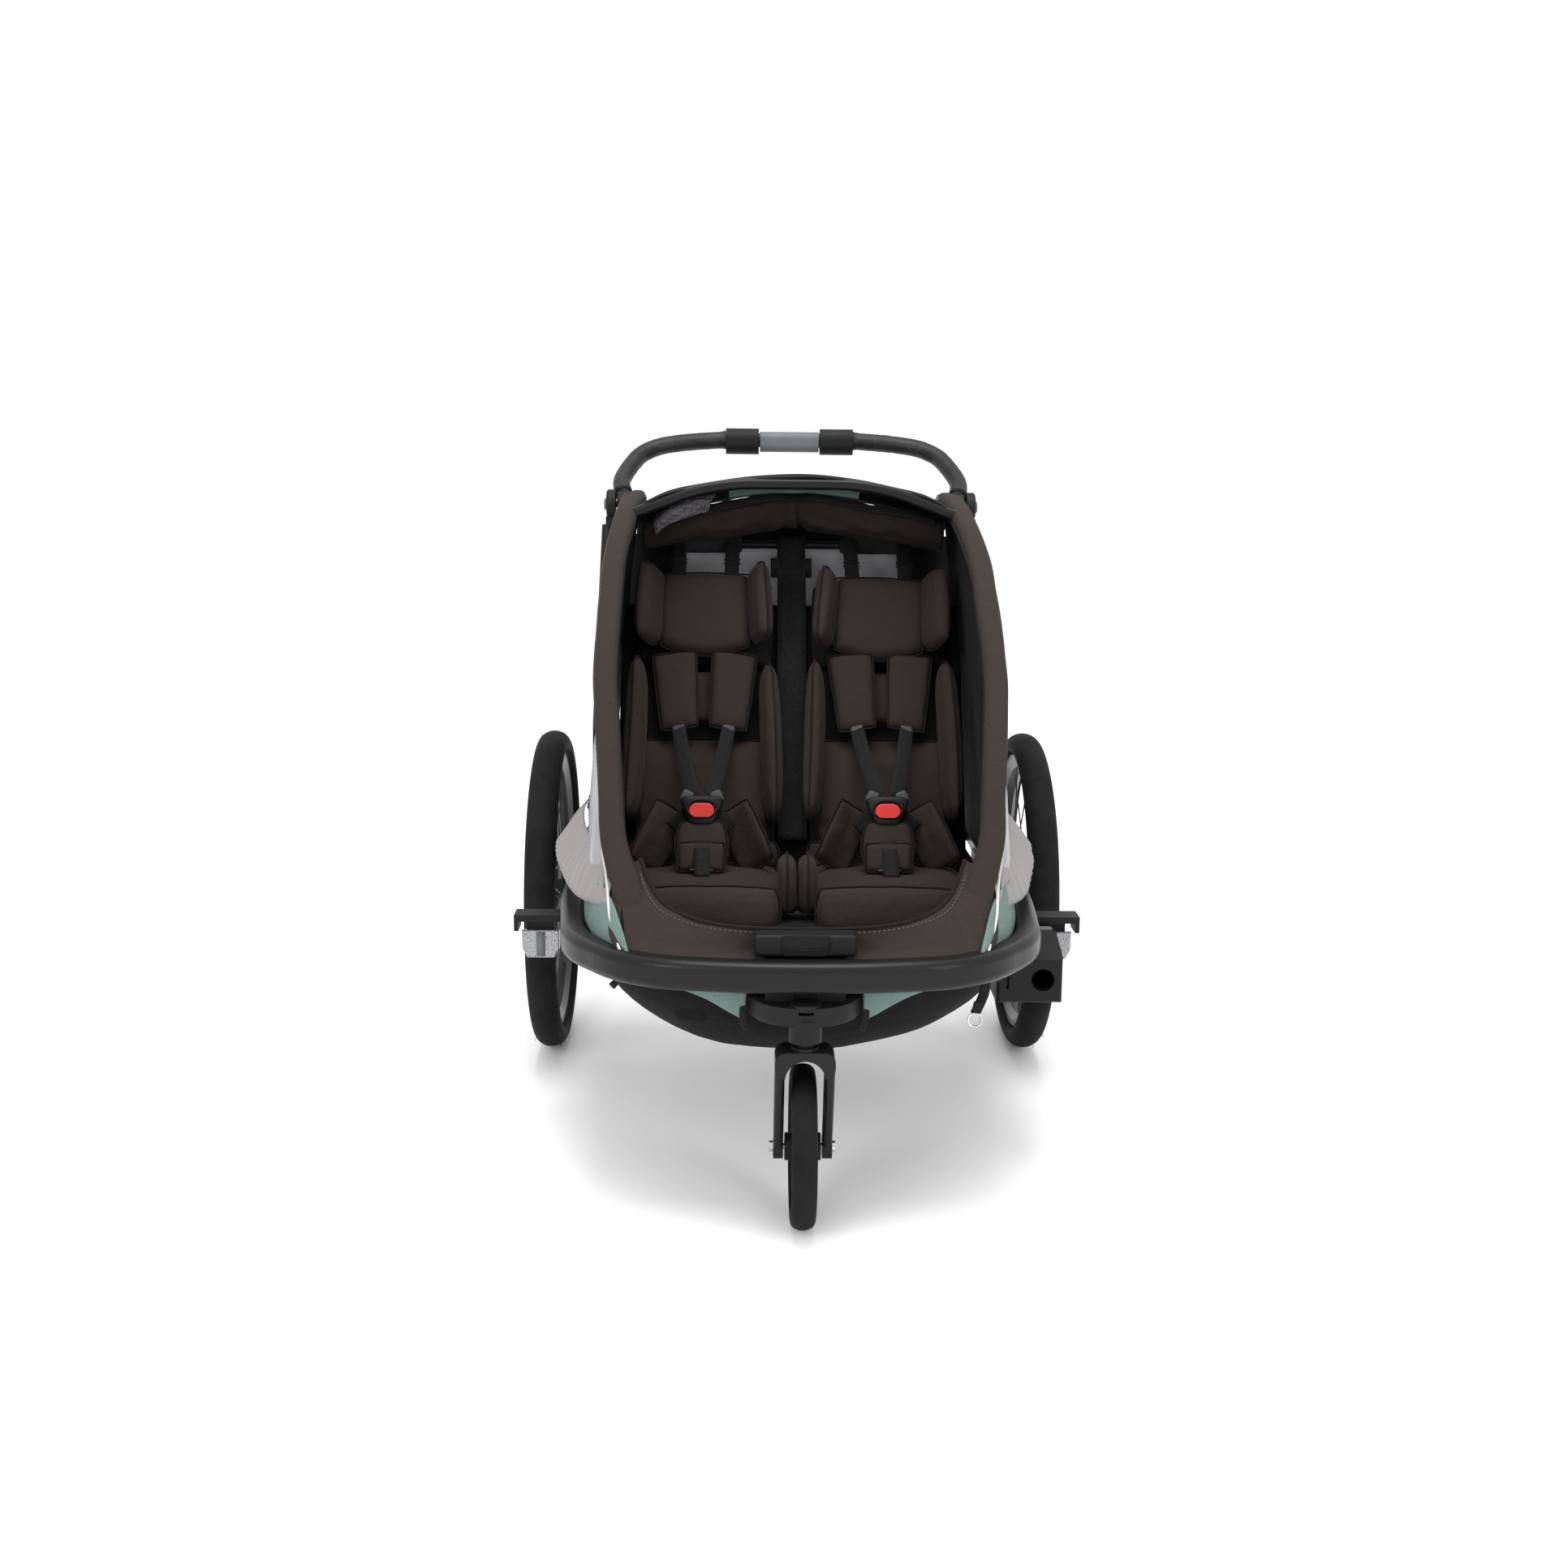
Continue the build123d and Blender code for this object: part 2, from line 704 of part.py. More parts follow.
def lap_webbing():
    """Straps from the seat up to each buckle."""
    return both_seats(lambda x: [rounded_box((24, 3, 12), (x, -294, 405), 1, tilt=-24)])


def cabin_side():
    """Side wall of the cabin, from the rail to the pillar, with its flared wing."""
    edge = roof_arc_radius - 18
    def on_arc(y):
        return y, corner_z + 10 - roof_arc_radius + math.sqrt(edge**2 - (y - corner_y) ** 2)
    start, middle, end = on_arc(30), on_arc(-300), on_arc(-588)
    side = Plane(origin=(277, 0, 0), x_dir=(0, 1, 0), z_dir=(1, 0, 0))
    outline = Curve() + [
        Polyline(end, (-600, 356), (18, 356), start),
        ThreePointArc(start, middle, end),
    ]
    wall = extrude(side * make_face(outline), 3).rotate(Axis((277, 0, 356), (0, 1, 0)), -2.6)
    wing = Box(56, 240, 2).rotate(Axis.Y, 38).moved(Location((306, -290, 396)))
    return [wall.solid(), wing.solid()]


def pillar_sleeve():
    points = pillar_points()
    sleeve = bent_tube(points, [pillar_bend] * (len(points) - 2), sleeve_radius, pillar_radius + 0.3)
    sleeve -= Box(90, 120, 60).moved(Location((200, front_hinge_y, front_hinge_z)))
    sleeve -= Box(120, 200, 200).moved(Location((pillar_end_x, corner_y, corner_z)))
    sleeve -= Box(90, 40, 60).moved(Location((213, roof_bar_y, 850)))
    return sleeve.solids().sort_by(SortBy.VOLUME)[-1]


def rolled_cover():
    return rounded_box((430, 56, 50), (0, -66, 838), 18)


def roof_fabric():
    """Cover behind the roof bar and the rear wall below the rear window."""
    roof = rounded_box((440, 130, 6), (0, -28, 880), 2)
    rear = rounded_box((440, 5, 350), (0, 82, 545), 2)
    return [roof, rear]


def front_flap():
    """Low fabric wall between the feet of the pillars, behind the bumper."""
    return rounded_box((340, 6, 44), (0, -700, 334), 2)


save("bumper_loop", bumper_loop())
save("cross_tubes", *cross_tubes())
save("axle_beam", axle_beam())
save("axle_hangers", *pair(axle_hanger()))
save("wheel_axles", *pair(wheel_axle()))
save("brake_bar", brake_bar())
save("hinge_brackets", *pair(rear_hinge_bracket()), *pair(front_hinge_bracket()))
save("hinge_bolts", *hinge_bolts())
save("chassis_bolts", *chassis_bolts())
save("reflector_arms", *pair(reflector_arm()))
save("side_reflectors", *pair(side_reflector()))
save("hitch_receiver", hitch_receiver())
save("hitch_button", hitch_button())
save("front_clip", front_clip())
save("d_ring_strap", d_ring_strap())
save("d_ring", d_ring())

save("caster_mount", caster_mount())
save("caster_release", caster_release())
save("caster_fork", caster_fork())
save("caster_axle_bolt", caster_axle_bolt())
save("front_tyre", front_tyre())
save("front_rim", front_rim())

for name, side in (("left", -1), ("right", 1)):
    save(f"{name}_tyre", at_wheel(tyre(), side))
    save(f"{name}_rim", at_wheel(rim(), side))
    save(f"{name}_hub", at_wheel(hub(), side))
    save(f"{name}_spokes", *[at_wheel(s, side) for s in spokes()])
    save(f"{name}_handle_button", handle_button() if side > 0 else mirrored(handle_button()))
    save(f"{name}_buckle_button", buckle_button(side * seat_x))

save("left_pillar", mirrored(pillar()))
save("right_pillar", pillar())
save("roof_bar", roof_bar())
save("headrest_crossbar", headrest_crossbar())
save("crossbar_foams", *crossbar_foams())
save("rear_uprights", *pair(rear_upright()))
save("upright_hubs", *pair(upright_hub()))
save("handlebar_tube", handlebar_tube())
save(
    "handle_clamps",
    *pair(handle_knuckle()),
    *pair(handle_piece(handle_grip_half + 2, handle_clamp_outer, 19, 4)),
)
save("handle_grip", handle_piece(-handle_grip_half, handle_grip_half, 14, 5))
save("handle_sleeves", *pair(handle_sleeve()))

save("belly_fabric", belly_fabric())
save("seat_cushions", *seat_cushions())
save("back_pads", *back_pads())
save("upper_backs", *upper_backs())
save("headrests", *headrests())
save("bolsters", *bolsters())
save("shoulder_pads", *shoulder_pads())
save("lap_pads", *hip_pads(), *crotch_pads())
save("buckles", *buckles())
save("lap_webbing", *lap_webbing())
save("cabin_sides", *cabin_side(), *[mirrored(s) for s in cabin_side()])
save("pillar_sleeves", *pair(pillar_sleeve()))
save("rolled_cover", rolled_cover())
save("roof_fabric", *roof_fabric())
save("front_flap", front_flap())
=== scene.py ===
import json
import math
import random

import bpy
from mathutils import Matrix, Vector, noise


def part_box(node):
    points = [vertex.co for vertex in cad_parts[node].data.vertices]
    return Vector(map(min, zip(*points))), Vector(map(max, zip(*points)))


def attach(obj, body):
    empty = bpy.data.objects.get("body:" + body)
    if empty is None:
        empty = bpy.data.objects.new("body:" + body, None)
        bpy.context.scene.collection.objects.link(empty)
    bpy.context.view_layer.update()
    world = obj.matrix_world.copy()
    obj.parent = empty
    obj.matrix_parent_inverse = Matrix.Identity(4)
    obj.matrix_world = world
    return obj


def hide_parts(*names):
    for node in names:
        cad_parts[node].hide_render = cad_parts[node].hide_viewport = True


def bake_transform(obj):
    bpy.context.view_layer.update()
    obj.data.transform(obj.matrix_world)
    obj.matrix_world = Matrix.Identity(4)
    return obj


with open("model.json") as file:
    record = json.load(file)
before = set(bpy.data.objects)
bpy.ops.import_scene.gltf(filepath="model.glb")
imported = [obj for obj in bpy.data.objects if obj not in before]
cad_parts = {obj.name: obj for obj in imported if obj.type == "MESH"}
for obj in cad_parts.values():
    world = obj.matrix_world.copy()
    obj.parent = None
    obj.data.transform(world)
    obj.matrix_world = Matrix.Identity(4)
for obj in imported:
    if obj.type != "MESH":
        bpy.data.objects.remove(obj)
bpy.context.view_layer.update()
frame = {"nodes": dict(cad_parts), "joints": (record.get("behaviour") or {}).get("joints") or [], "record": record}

JOINTS = {joint["name"]: joint for joint in frame["joints"]}
AXLE_Y = JOINTS["left_wheel_spin"]["pos_m"][1]
SCENE = bpy.context.scene

# The part's own dimensions in millimetres, measured from the ground under the rear axle.
SEAT_X = 133
CREASE_Y, CREASE_Z = -180, 335
BACK_LEAN = math.radians(26.3)
ARC_Y, ARC_Z, ARC_RADIUS, ARC_TURN = 75, 60, 802, 68.6
RAIL_TOP = 350
HANDLE_LEAN = math.radians(34.3)
DECK_Z = 314
SIDES = ((-1, "left"), (1, "right"))
RIGHT = Vector((1, 0, 0))
FRONT = Vector((0, -1, 0))


def at(x, y, z):
    """A place given in millimetres from the ground under the rear axle, in the row frame."""
    return Vector((x / 1000, AXLE_Y + y / 1000, z / 1000))


# ---- materials ----
class Finish:
    """A procedural material: its shader, with the sockets fixed at the start, and what feeds it."""

    def __init__(self, name, fixed):
        self.material = bpy.data.materials.new(name)
        self.material.use_nodes = True
        self.tree = self.material.node_tree
        self.shader = self.tree.nodes["Principled BSDF"]
        for socket, value in fixed.items():
            self.shader.inputs[socket].default_value = value
        self.normal = None

    def node(self, kind, inputs=None, **settings):
        made = self.tree.nodes.new("ShaderNode" + kind)
        for key, value in settings.items():
            setattr(made, key, value)
        for key, value in (inputs or {}).items():
            if isinstance(value, bpy.types.NodeSocket):
                self.tree.links.new(value, made.inputs[key])
            else:
                made.inputs[key].default_value = value
        return made

    def place(self, stretch=(1, 1, 1), source="Object"):
        where = self.node("TexCoord").outputs[source]
        return self.node("Mapping", {"Vector": where, "Scale": stretch}).outputs[0]

    def noise(self, scale, detail=2.0, stretch=(1, 1, 1), rough=0.5):
        inputs = {"Vector": self.place(stretch), "Scale": scale, "Detail": detail, "Roughness": rough}
        return self.node("TexNoise", inputs).outputs[0]

    def cells(self, scale, stretch=(1, 1, 1), output="Distance", **settings):
        inputs = {"Vector": self.place(stretch), "Scale": scale}
        return self.node("TexVoronoi", inputs, **settings).outputs[output]

    def ribs(self, scale, source="Object", direction="X"):
        inputs = {"Vector": self.place(source=source), "Scale": scale}
        return self.node("TexWave", inputs, bands_direction=direction).outputs[1]

    def sum(self, a, b, share=0.5):
        return self.node("Math", {0: a, 1: share, 2: b}, operation="MULTIPLY_ADD").outputs[0]

    def ramp(self, value, stops):
        made = self.node("ValToRGB", {0: value})
        band = made.color_ramp
        while len(band.elements) < len(stops):
            band.elements.new(0.5)
        for element, (position, colour) in zip(band.elements, stops):
            element.position = position
            element.color = (*colour, 1)
        return made.outputs[0]

    def colour(self, value, stops):
        self.tree.links.new(self.ramp(value, stops), self.shader.inputs["Base Color"])

    def rough(self, value, low, high):
        inputs = {"Value": value, "To Min": low, "To Max": high}
        mapped = self.node("MapRange", inputs).outputs[0]
        self.tree.links.new(mapped, self.shader.inputs["Roughness"])

    def bump(self, value, strength, distance):
        inputs = {"Height": value, "Strength": strength, "Distance": distance}
        if self.normal:
            inputs["Normal"] = self.normal
        self.normal = self.node("Bump", inputs).outputs[0]
        self.tree.links.new(self.normal, self.shader.inputs["Normal"])


def shade(colour, factor):
    return tuple(c * factor for c in colour)


def melange(name, colour, contrast=0.6, sheen=0.03, weave=430.0):
    """Woven cloth of mixed yarns: flecks along both threads, broad fading and a raised weave."""
    f = Finish(name, {"Sheen Weight": sheen, "Sheen Roughness": 0.45, "Specular IOR Level": 0.06})
    yarn = f.sum(f.noise(weave, 1.0, (1, 1, 0.35)), f.noise(weave * 0.8, 1.0, (0.35, 1, 1)), 1.0)
    tone = f.sum(f.noise(7.0, 3.0), yarn, 0.5)
    low, high = shade(colour, 1 - contrast), shade(colour, 1 + contrast)
    f.colour(tone, [(0.55, low), (1.0, high)])
    f.rough(f.noise(30.0), 0.78, 0.95)
    f.bump(f.cells(weave * 1.3, feature="SMOOTH_F1"), 0.5, 0.0006)
    f.bump(f.noise(55.0, 4.0), 0.45, 0.004)
    return f.material


def ribbed(name, colour):
    """Narrow woven webbing: ribs along its length, laid out by the strap's own surface map."""
    f = Finish(name, {"Sheen Weight": 0.04, "Specular IOR Level": 0.1})
    f.colour(f.noise(420.0), [(0.3, shade(colour, 0.6)), (0.75, shade(colour, 1.6))])
    f.rough(f.noise(60.0), 0.6, 0.85)
    f.bump(f.ribs(90.0, "UV", "Y"), 0.6, 0.0006)
    f.bump(f.ribs(0.9, "UV", "X"), 0.4, 0.0005)
    return f.material


def moulded(name, colour, grain=900.0, low=0.42, high=0.6, coat=0.0):
    """Moulded plastic with a fine spark-eroded texture."""
    f = Finish(name, {"Specular IOR Level": 0.14, "Coat Weight": coat, "Coat Roughness": 0.25})
    f.colour(f.noise(12.0, 4.0), [(0.3, shade(colour, 0.85)), (0.75, shade(colour, 1.2))])
    f.rough(f.noise(45.0, 3.0), low, high)
    f.bump(f.noise(grain, 2.0), 0.16, 0.0004)
    f.bump(f.noise(70.0), 0.05, 0.002)
    return f.material


def coated(name, colour, low=0.3, high=0.42):
    """Powder-coated tube: satin, with a slight orange peel and light scuffs."""
    f = Finish(name, {"Specular IOR Level": 0.16, "Coat Weight": 0.06, "Coat Roughness": 0.2})
    f.colour(f.noise(5.0, 5.0), [(0.3, shade(colour, 0.85)), (0.8, shade(colour, 1.25))])
    scuffs = f.noise(35.0, 8.0, (1, 0.2, 1), 0.7)
    f.rough(scuffs, low, high)
    f.bump(f.noise(520.0, 2.0), 0.1, 0.0004)
    return f.material


def steel():
    f = Finish("bright_steel", {"Metallic": 1.0, "Anisotropic": 0.4})
    f.colour(f.noise(90.0, 4.0, (1, 8, 1)), [(0.3, (0.42, 0.42, 0.43)), (0.8, (0.68, 0.68, 0.69))])
    f.rough(f.noise(200.0, 3.0, (1, 12, 1)), 0.2, 0.42)
    f.bump(f.noise(600.0, 2.0, (1, 12, 1)), 0.08, 0.0002)
    return f.material


def rubber(name, colour):
    f = Finish(name, {"Specular IOR Level": 0.07})
    f.colour(f.noise(22.0, 6.0, rough=0.65), [(0.3, shade(colour, 0.75)), (0.8, shade(colour, 1.8))])
    f.rough(f.noise(80.0, 4.0), 0.6, 0.85)
    f.bump(f.noise(900.0, 2.0), 0.22, 0.0004)
    return f.material


def grained_leather():
    f = Finish("sleeve_leather", {"Specular IOR Level": 0.22})
    f.colour(f.noise(25.0, 4.0), [(0.3, (0.008, 0.008, 0.008)), (0.8, (0.022, 0.021, 0.02))])
    f.rough(f.noise(60.0, 4.0), 0.32, 0.55)
    f.bump(f.cells(420.0, feature="DISTANCE_TO_EDGE"), 0.4, 0.0006)
    f.bump(f.noise(40.0, 3.0), 0.35, 0.002)
    return f.material


def prism():
    """Clear reflector: small prism cells behind a smooth face."""
    f = Finish("prism_clear", {"Specular IOR Level": 0.7, "Coat Weight": 1.0, "Coat Roughness": 0.05})
    f.shader.inputs["Metallic"].default_value = 0.35
    cells = f.cells(520.0, (1, 1, 1.2), feature="F1")
    f.colour(cells, [(0.1, (0.12, 0.12, 0.13)), (0.5, (0.30, 0.30, 0.32)), (0.8, (0.05, 0.05, 0.055))])
    f.rough(f.noise(50.0), 0.12, 0.22)
    f.bump(cells, 0.7, 0.001)
    return f.material


def film(name, colour, alpha):
    f = Finish(name, {"Alpha": alpha, "Specular IOR Level": 0.6})
    f.colour(f.noise(9.0, 3.0), [(0.3, shade(colour, 0.92)), (0.8, colour)])
    f.rough(f.noise(14.0, 3.0), 0.18, 0.34)
    f.bump(f.noise(11.0, 3.0), 0.25, 0.006)
    return f.material


def mesh_net(name, colour):
    """Fine knitted net: small dark holes in rows."""
    f = Finish(name, {"Sheen Weight": 0.05, "Specular IOR Level": 0.1})
    holes = f.cells(430.0, feature="F1")
    f.colour(holes, [(0.15, shade(colour, 0.15)), (0.55, colour)])
    f.rough(f.noise(40.0), 0.6, 0.85)
    f.bump(holes, 0.5, 0.0007)
    return f.material


BROWN = (0.0175, 0.0136, 0.0122)
MAT = {
    "brown_fabric": melange("brown_melange", BROWN),
    # Darker brown for bindings, pad rims, zip teeth and the cover tie; on the rolled cover it is partly painted
    # shade.
    "dark_brown_and_painted_shade": melange("brown_binding_and_painted_shade", shade(BROWN, 0.6), 0.25, 0.02),
    "green_fabric": melange("green_melange", (0.088, 0.128, 0.118), 0.3),
    "grey_fabric": melange("grey_cloth", (0.185, 0.175, 0.172), 0.1, 0.15, 900.0),
    "black_fabric": melange("black_cloth", (0.0055, 0.0055, 0.006), 0.4, 0.02),
    "black_net": mesh_net("black_net", (0.012, 0.012, 0.013)),
    "grey_net": mesh_net("grey_net", (0.075, 0.07, 0.078)),
    "webbing": ribbed("harness_webbing", (0.0085, 0.0085, 0.009)),
    "thread": melange("stitch_thread", (0.075, 0.06, 0.05), 0.3, 0.3),
    "piping": melange("pale_piping", (0.42, 0.40, 0.39), 0.15, 0.2),
    "window_film": film("window_film", (0.26, 0.25, 0.28), 0.86),
    "frame_black": coated("powder_black", (0.006, 0.006, 0.0064)),
    "spoke_black": coated("spoke_black", (0.016, 0.016, 0.017), 0.25, 0.4),
    "plastic_black": moulded("black_plastic", (0.0085, 0.0087, 0.0092)),
    "plastic_grey": moulded("grey_plastic", (0.115, 0.122, 0.128), low=0.36, high=0.5),
    "clip_grey": moulded("dark_grey_plastic", (0.05, 0.052, 0.055), low=0.3, high=0.45),
    "steel": steel(),
    "tyre": rubber("tyre_rubber", (0.0080, 0.0080, 0.0080)),
    "foam": rubber("sleeve_foam", (0.020, 0.021, 0.023)),
    "reflector": prism(),
    "red_plastic": moulded("red_plastic", (0.52, 0.012, 0.010), low=0.18, high=0.28, coat=0.6),
    "leather": grained_leather(),
}


# ---- shapes ----
def spline(points, count, closed=False):
    """count places, evenly spaced, on the smooth curve through the points."""
    knots, steps = [Vector(p) for p in points], 12
    spans = len(knots) if closed else len(knots) - 1
    dense = []
    for i in range(spans):
        b, c = knots[i], knots[(i + 1) % len(knots)]
        a = knots[i - 1] if closed or i else b * 2 - c
        d = knots[(i + 2) % len(knots)] if closed or i + 2 < len(knots) else c * 2 - b
        for k in range(steps):
            t = k / steps
            cubic = (3 * b - a - 3 * c + d) * t**3
            dense.append(0.5 * (2 * b + (c - a) * t + (2 * a - 5 * b + 4 * c - d) * t * t + cubic))
    dense.append(knots[0] if closed else knots[-1])
    run = [0.0]
    for a, b in zip(dense, dense[1:]):
        run.append(run[-1] + (b - a).length)
    places, j = [], 0
    for k in range(count):
        want = run[-1] * k / (count if closed else count - 1)
        while j < len(dense) - 2 and run[j + 1] < want:
            j += 1
        places.append(dense[j].lerp(dense[j + 1], (want - run[j]) / ((run[j + 1] - run[j]) or 1)))
    return places


def piece_from(name, points, faces, material, surface_map=None):
    mesh = bpy.data.meshes.new(name)
    mesh.from_pydata([tuple(p) for p in points], [], faces)
    mesh.materials.append(MAT[material])
    if surface_map:
        layer = mesh.uv_layers.new()
        for loop in mesh.loops:
            layer.data[loop.index].uv = surface_map[loop.vertex_index]
    for polygon in mesh.polygons:
        polygon.use_smooth = True
    piece = bpy.data.objects.new(name, mesh)
    SCENE.collection.objects.link(piece)
    return piece


def loft(name, rings, material, surface_map=None):
    """A closed tube-like skin through rings of the same number of points, capped at both ends."""
    count = len(rings[0])
    faces = []
    for i in range(len(rings) - 1):
        for k in range(count):
            a, b = i * count + k, i * count + (k + 1) % count
            faces.append((a, b, b + count, a + count))
    last = (len(rings) - 1) * count
    faces.append(tuple(reversed(range(count))))
    faces.append(tuple(last + k for k in range(count)))
    return piece_from(name, [p for ring in rings for p in ring], faces, material, surface_map)


def tangents(path):
    closed = (path[0] - path[-1]).length < 1e-9
    out = []
    for i in range(len(path)):
        before = path[max(i - 1, 0)] if not (closed and i == 0) else path[-2]
        after = path[min(i + 1, len(path) - 1)] if not (closed and i == len(path) - 1) else path[1]
        out.append((after - before).normalized())
    return out


def swept(name, path, section, material, facing=FRONT, surface_map=False):
    """A skin with the given section along a path. section(t) gives (across, outward) pairs in metres."""
    rings, flat, run = [], [], 0.0
    for i, (p, along) in enumerate(zip(path, tangents(path))):
        out = facing[i] if isinstance(facing, list) else facing
        across = along.cross(out).normalized()
        out = across.cross(along).normalized()
        run += (p - path[i - 1]).length if i else 0
        ring = section(i / (len(path) - 1))
        rings.append([p + across * a + out * b for a, b in ring])
        flat += [(a, run) for a, b in ring]
    return loft(name, rings, material, flat if surface_map else None)


def cable(name, path, radius, material, sides=8):
    turn = 2 * math.pi / sides
    ring = [(radius * math.cos(turn * k), radius * math.sin(turn * k)) for k in range(sides)]
    steep = abs((path[-1] - path[0]).normalized().y) > 0.9
    return swept(name, path, lambda t: ring, material,
        Vector((0, 0, 1)) if steep else Vector((0.02, -1, 0.03)))


def strap(name, points, width, facing, material="webbing", thick=1.5, count=24):
    """Flat webbing through the points, width and thickness in millimetres."""
    a, b = width / 2000, thick / 2000
    ring = [(-a, -b), (-a * 0.5, -b * 1.2), (a * 0.5, -b * 1.2), (a, -b)]
    ring += [(a, b), (a * 0.5, b * 1.2), (-a * 0.5, b * 1.2), (-a, b)]
    return swept(name, spline(points, count), lambda t: ring, material, facing, True)


def sheet_from(name, rails, columns, rows, material, thick=2.0, warp=None):
    """A cloth skin through rails of points, given its thickness in millimetres on the inner side."""
    lines = [spline(rail, columns) for rail in rails]
    grid = [spline([line[i] for line in lines], rows) for i in range(columns)]
    points = []
    for i, column in enumerate(grid):
        for j, p in enumerate(column):
            points.append(p + (warp(i / (columns - 1), j / (rows - 1), p) if warp else Vector()))
    faces = []
    for i in range(columns - 1):
        for j in range(rows - 1):
            a = i * rows + j
            faces.append((a, a + 1, a + rows + 1, a + rows))
    piece = piece_from(name, points, faces, material)
    thicken = piece.modifiers.new("thickness", "SOLIDIFY")
    thicken.thickness = thick / 1000
    thicken.offset = 0
    return settle(piece)


def settle(piece, subdivide=0):
    """Applies the piece's modifiers, with a last subdivision if asked."""
    if subdivide:
        piece.modifiers.new("smooth", "SUBSURF").levels = subdivide
    graph = bpy.context.evaluated_depsgraph_get()
    mesh = bpy.data.meshes.new_from_object(piece.evaluated_get(graph))
    piece.modifiers.clear()
    piece.data = mesh
    for polygon in mesh.polygons:
        polygon.use_smooth = True
    return piece


def crease(piece, depth, scale, stretch=(1, 1, 1), seed=0.0):
    """Soft folds: every point moves along its normal by smooth noise, depth in millimetres."""
    mesh = piece.data
    normals = [v.normal.copy() for v in mesh.vertices]
    for vertex, normal in zip(mesh.vertices, normals):
        p = vertex.co
        where = Vector((p.x * stretch[0], p.y * stretch[1], p.z * stretch[2])) * scale
        where += Vector((seed, seed * 1.7, seed * 0.6))
        ridge = 1 - 2 * abs(noise.noise(where))
        vertex.co = p + normal * (depth / 1000) * (0.6 * (ridge - 0.6) + 0.4 * noise.noise(where * 2.3))
    return piece


def merge(pieces):
    """Joins pieces into the first, which keeps its name."""
    first = pieces[0]
    with bpy.context.temp_override(
        active_object=first, object=first, selected_objects=pieces, selected_editable_objects=pieces
    ):
        bpy.ops.object.join()
    return first


def stitches(name, path, length=3.6, gap=2.4, radius=0.45, material="thread"):
    """A row of short raised threads along a path, sizes in millimetres."""
    total = sum((b - a).length for a, b in zip(path, path[1:]))
    count = max(2, int(total * 1000 / (length + gap)))
    places = spline(path, count + 1) if len(path) > 2 else [path[0].lerp(path[-1], k / count)
        for k in range(count + 1)]
    points, faces = [], []
    for a, b in zip(places, places[1:]):
        along = (b - a).normalized() * (length / 2000)
        middle = (a + b) / 2
        side = along.cross(Vector((0.3, -1, 0.5))).normalized() * (radius / 1000)
        other = along.cross(side).normalized() * (radius / 1000)
        base = len(points)
        for end, size in ((-1, 0.4), (-0.6, 1), (0.6, 1), (1, 0.4)):
            for s, o in ((1, 0), (0, 1), (-1, 0), (0, -1)):
                points.append(middle + along * end + (side * s + other * o) * size)
        for r in range(3):
            for k in range(4):
                p, q = base + r * 4 + k, base + r * 4 + (k + 1) % 4
                faces.append((p, q, q + 4, p + 4))
        faces.append((base + 3, base + 2, base + 1, base))
        faces.append((base + 12, base + 13, base + 14, base + 15))
    return piece_from(name, points, faces, material)


def hang(piece, body="upper_frame"):
    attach(piece, body)
    return piece


def cloth(piece, flat, held, *rests_on):
    """Does nothing: the body is empty, so the sheet of cloth is not declared. flat, the cut in metres whose area
    is that of the finished piece, is not used.
    """


# ---- padded pieces ----
def inflate(piece, cap, pressure=4.0, frames=14):
    """Puffs a closed skin up by a short cloth simulation; no point moves more than cap millimetres."""
    start = [v.co.copy() for v in piece.data.vertices]
    cloth = piece.modifiers.new("Cloth", "CLOTH")
    cloth.settings.quality = 4
    cloth.settings.use_pressure = True
    cloth.settings.uniform_pressure_force = pressure
    cloth.settings.bending_stiffness = 0.4
    cloth.settings.effector_weights.gravity = 0
    for step in range(1, frames + 1):
        SCENE.frame_set(step)
    puffed = piece.evaluated_get(bpy.context.evaluated_depsgraph_get()).data
    end = [v.co.copy() for v in puffed.vertices]
    piece.modifiers.remove(cloth)
    SCENE.frame_set(1)
    for vertex, a, b in zip(piece.data.vertices, start, end):
        move = b - a
        limit = cap / 1000
        vertex.co = a + (move * (limit / move.length) if move.length > limit else move)


def frame_at(origin, across, up, lean=0, turn=0, roll=0):
    """A placing matrix: x across, y up, z outward, with small turns of its own in degrees."""
    outward = across.cross(up).normalized()
    basis = Matrix((across, up, outward)).transposed().to_4x4()
    own = Matrix.Rotation(math.radians(roll), 4, "Z")
    own = own @ Matrix.Rotation(math.radians(turn), 4, "Y") @ Matrix.Rotation(math.radians(lean), 4, "X")
    return Matrix.Translation(origin) @ basis @ own


def back_place(x, up, forward, lean=0, turn=0, roll=0):
    """On the seat back: millimetres across, up the slope from the crease, and forward of it."""
    s, c = math.sin(BACK_LEAN), math.cos(BACK_LEAN)
    origin = at(x, CREASE_Y + up * s - forward * c, CREASE_Z + up * c + forward * s)
    return frame_at(origin, RIGHT, Vector((0, s, c)), lean, turn, roll)


def seat_place(x, y, z, lean=0, turn=0, roll=0):
    """On the seat: x across, its up pointing to the rear, outward pointing up."""
    return frame_at(at(x, y, z), RIGHT, Vector((0, 1, 0)), lean, turn, roll)


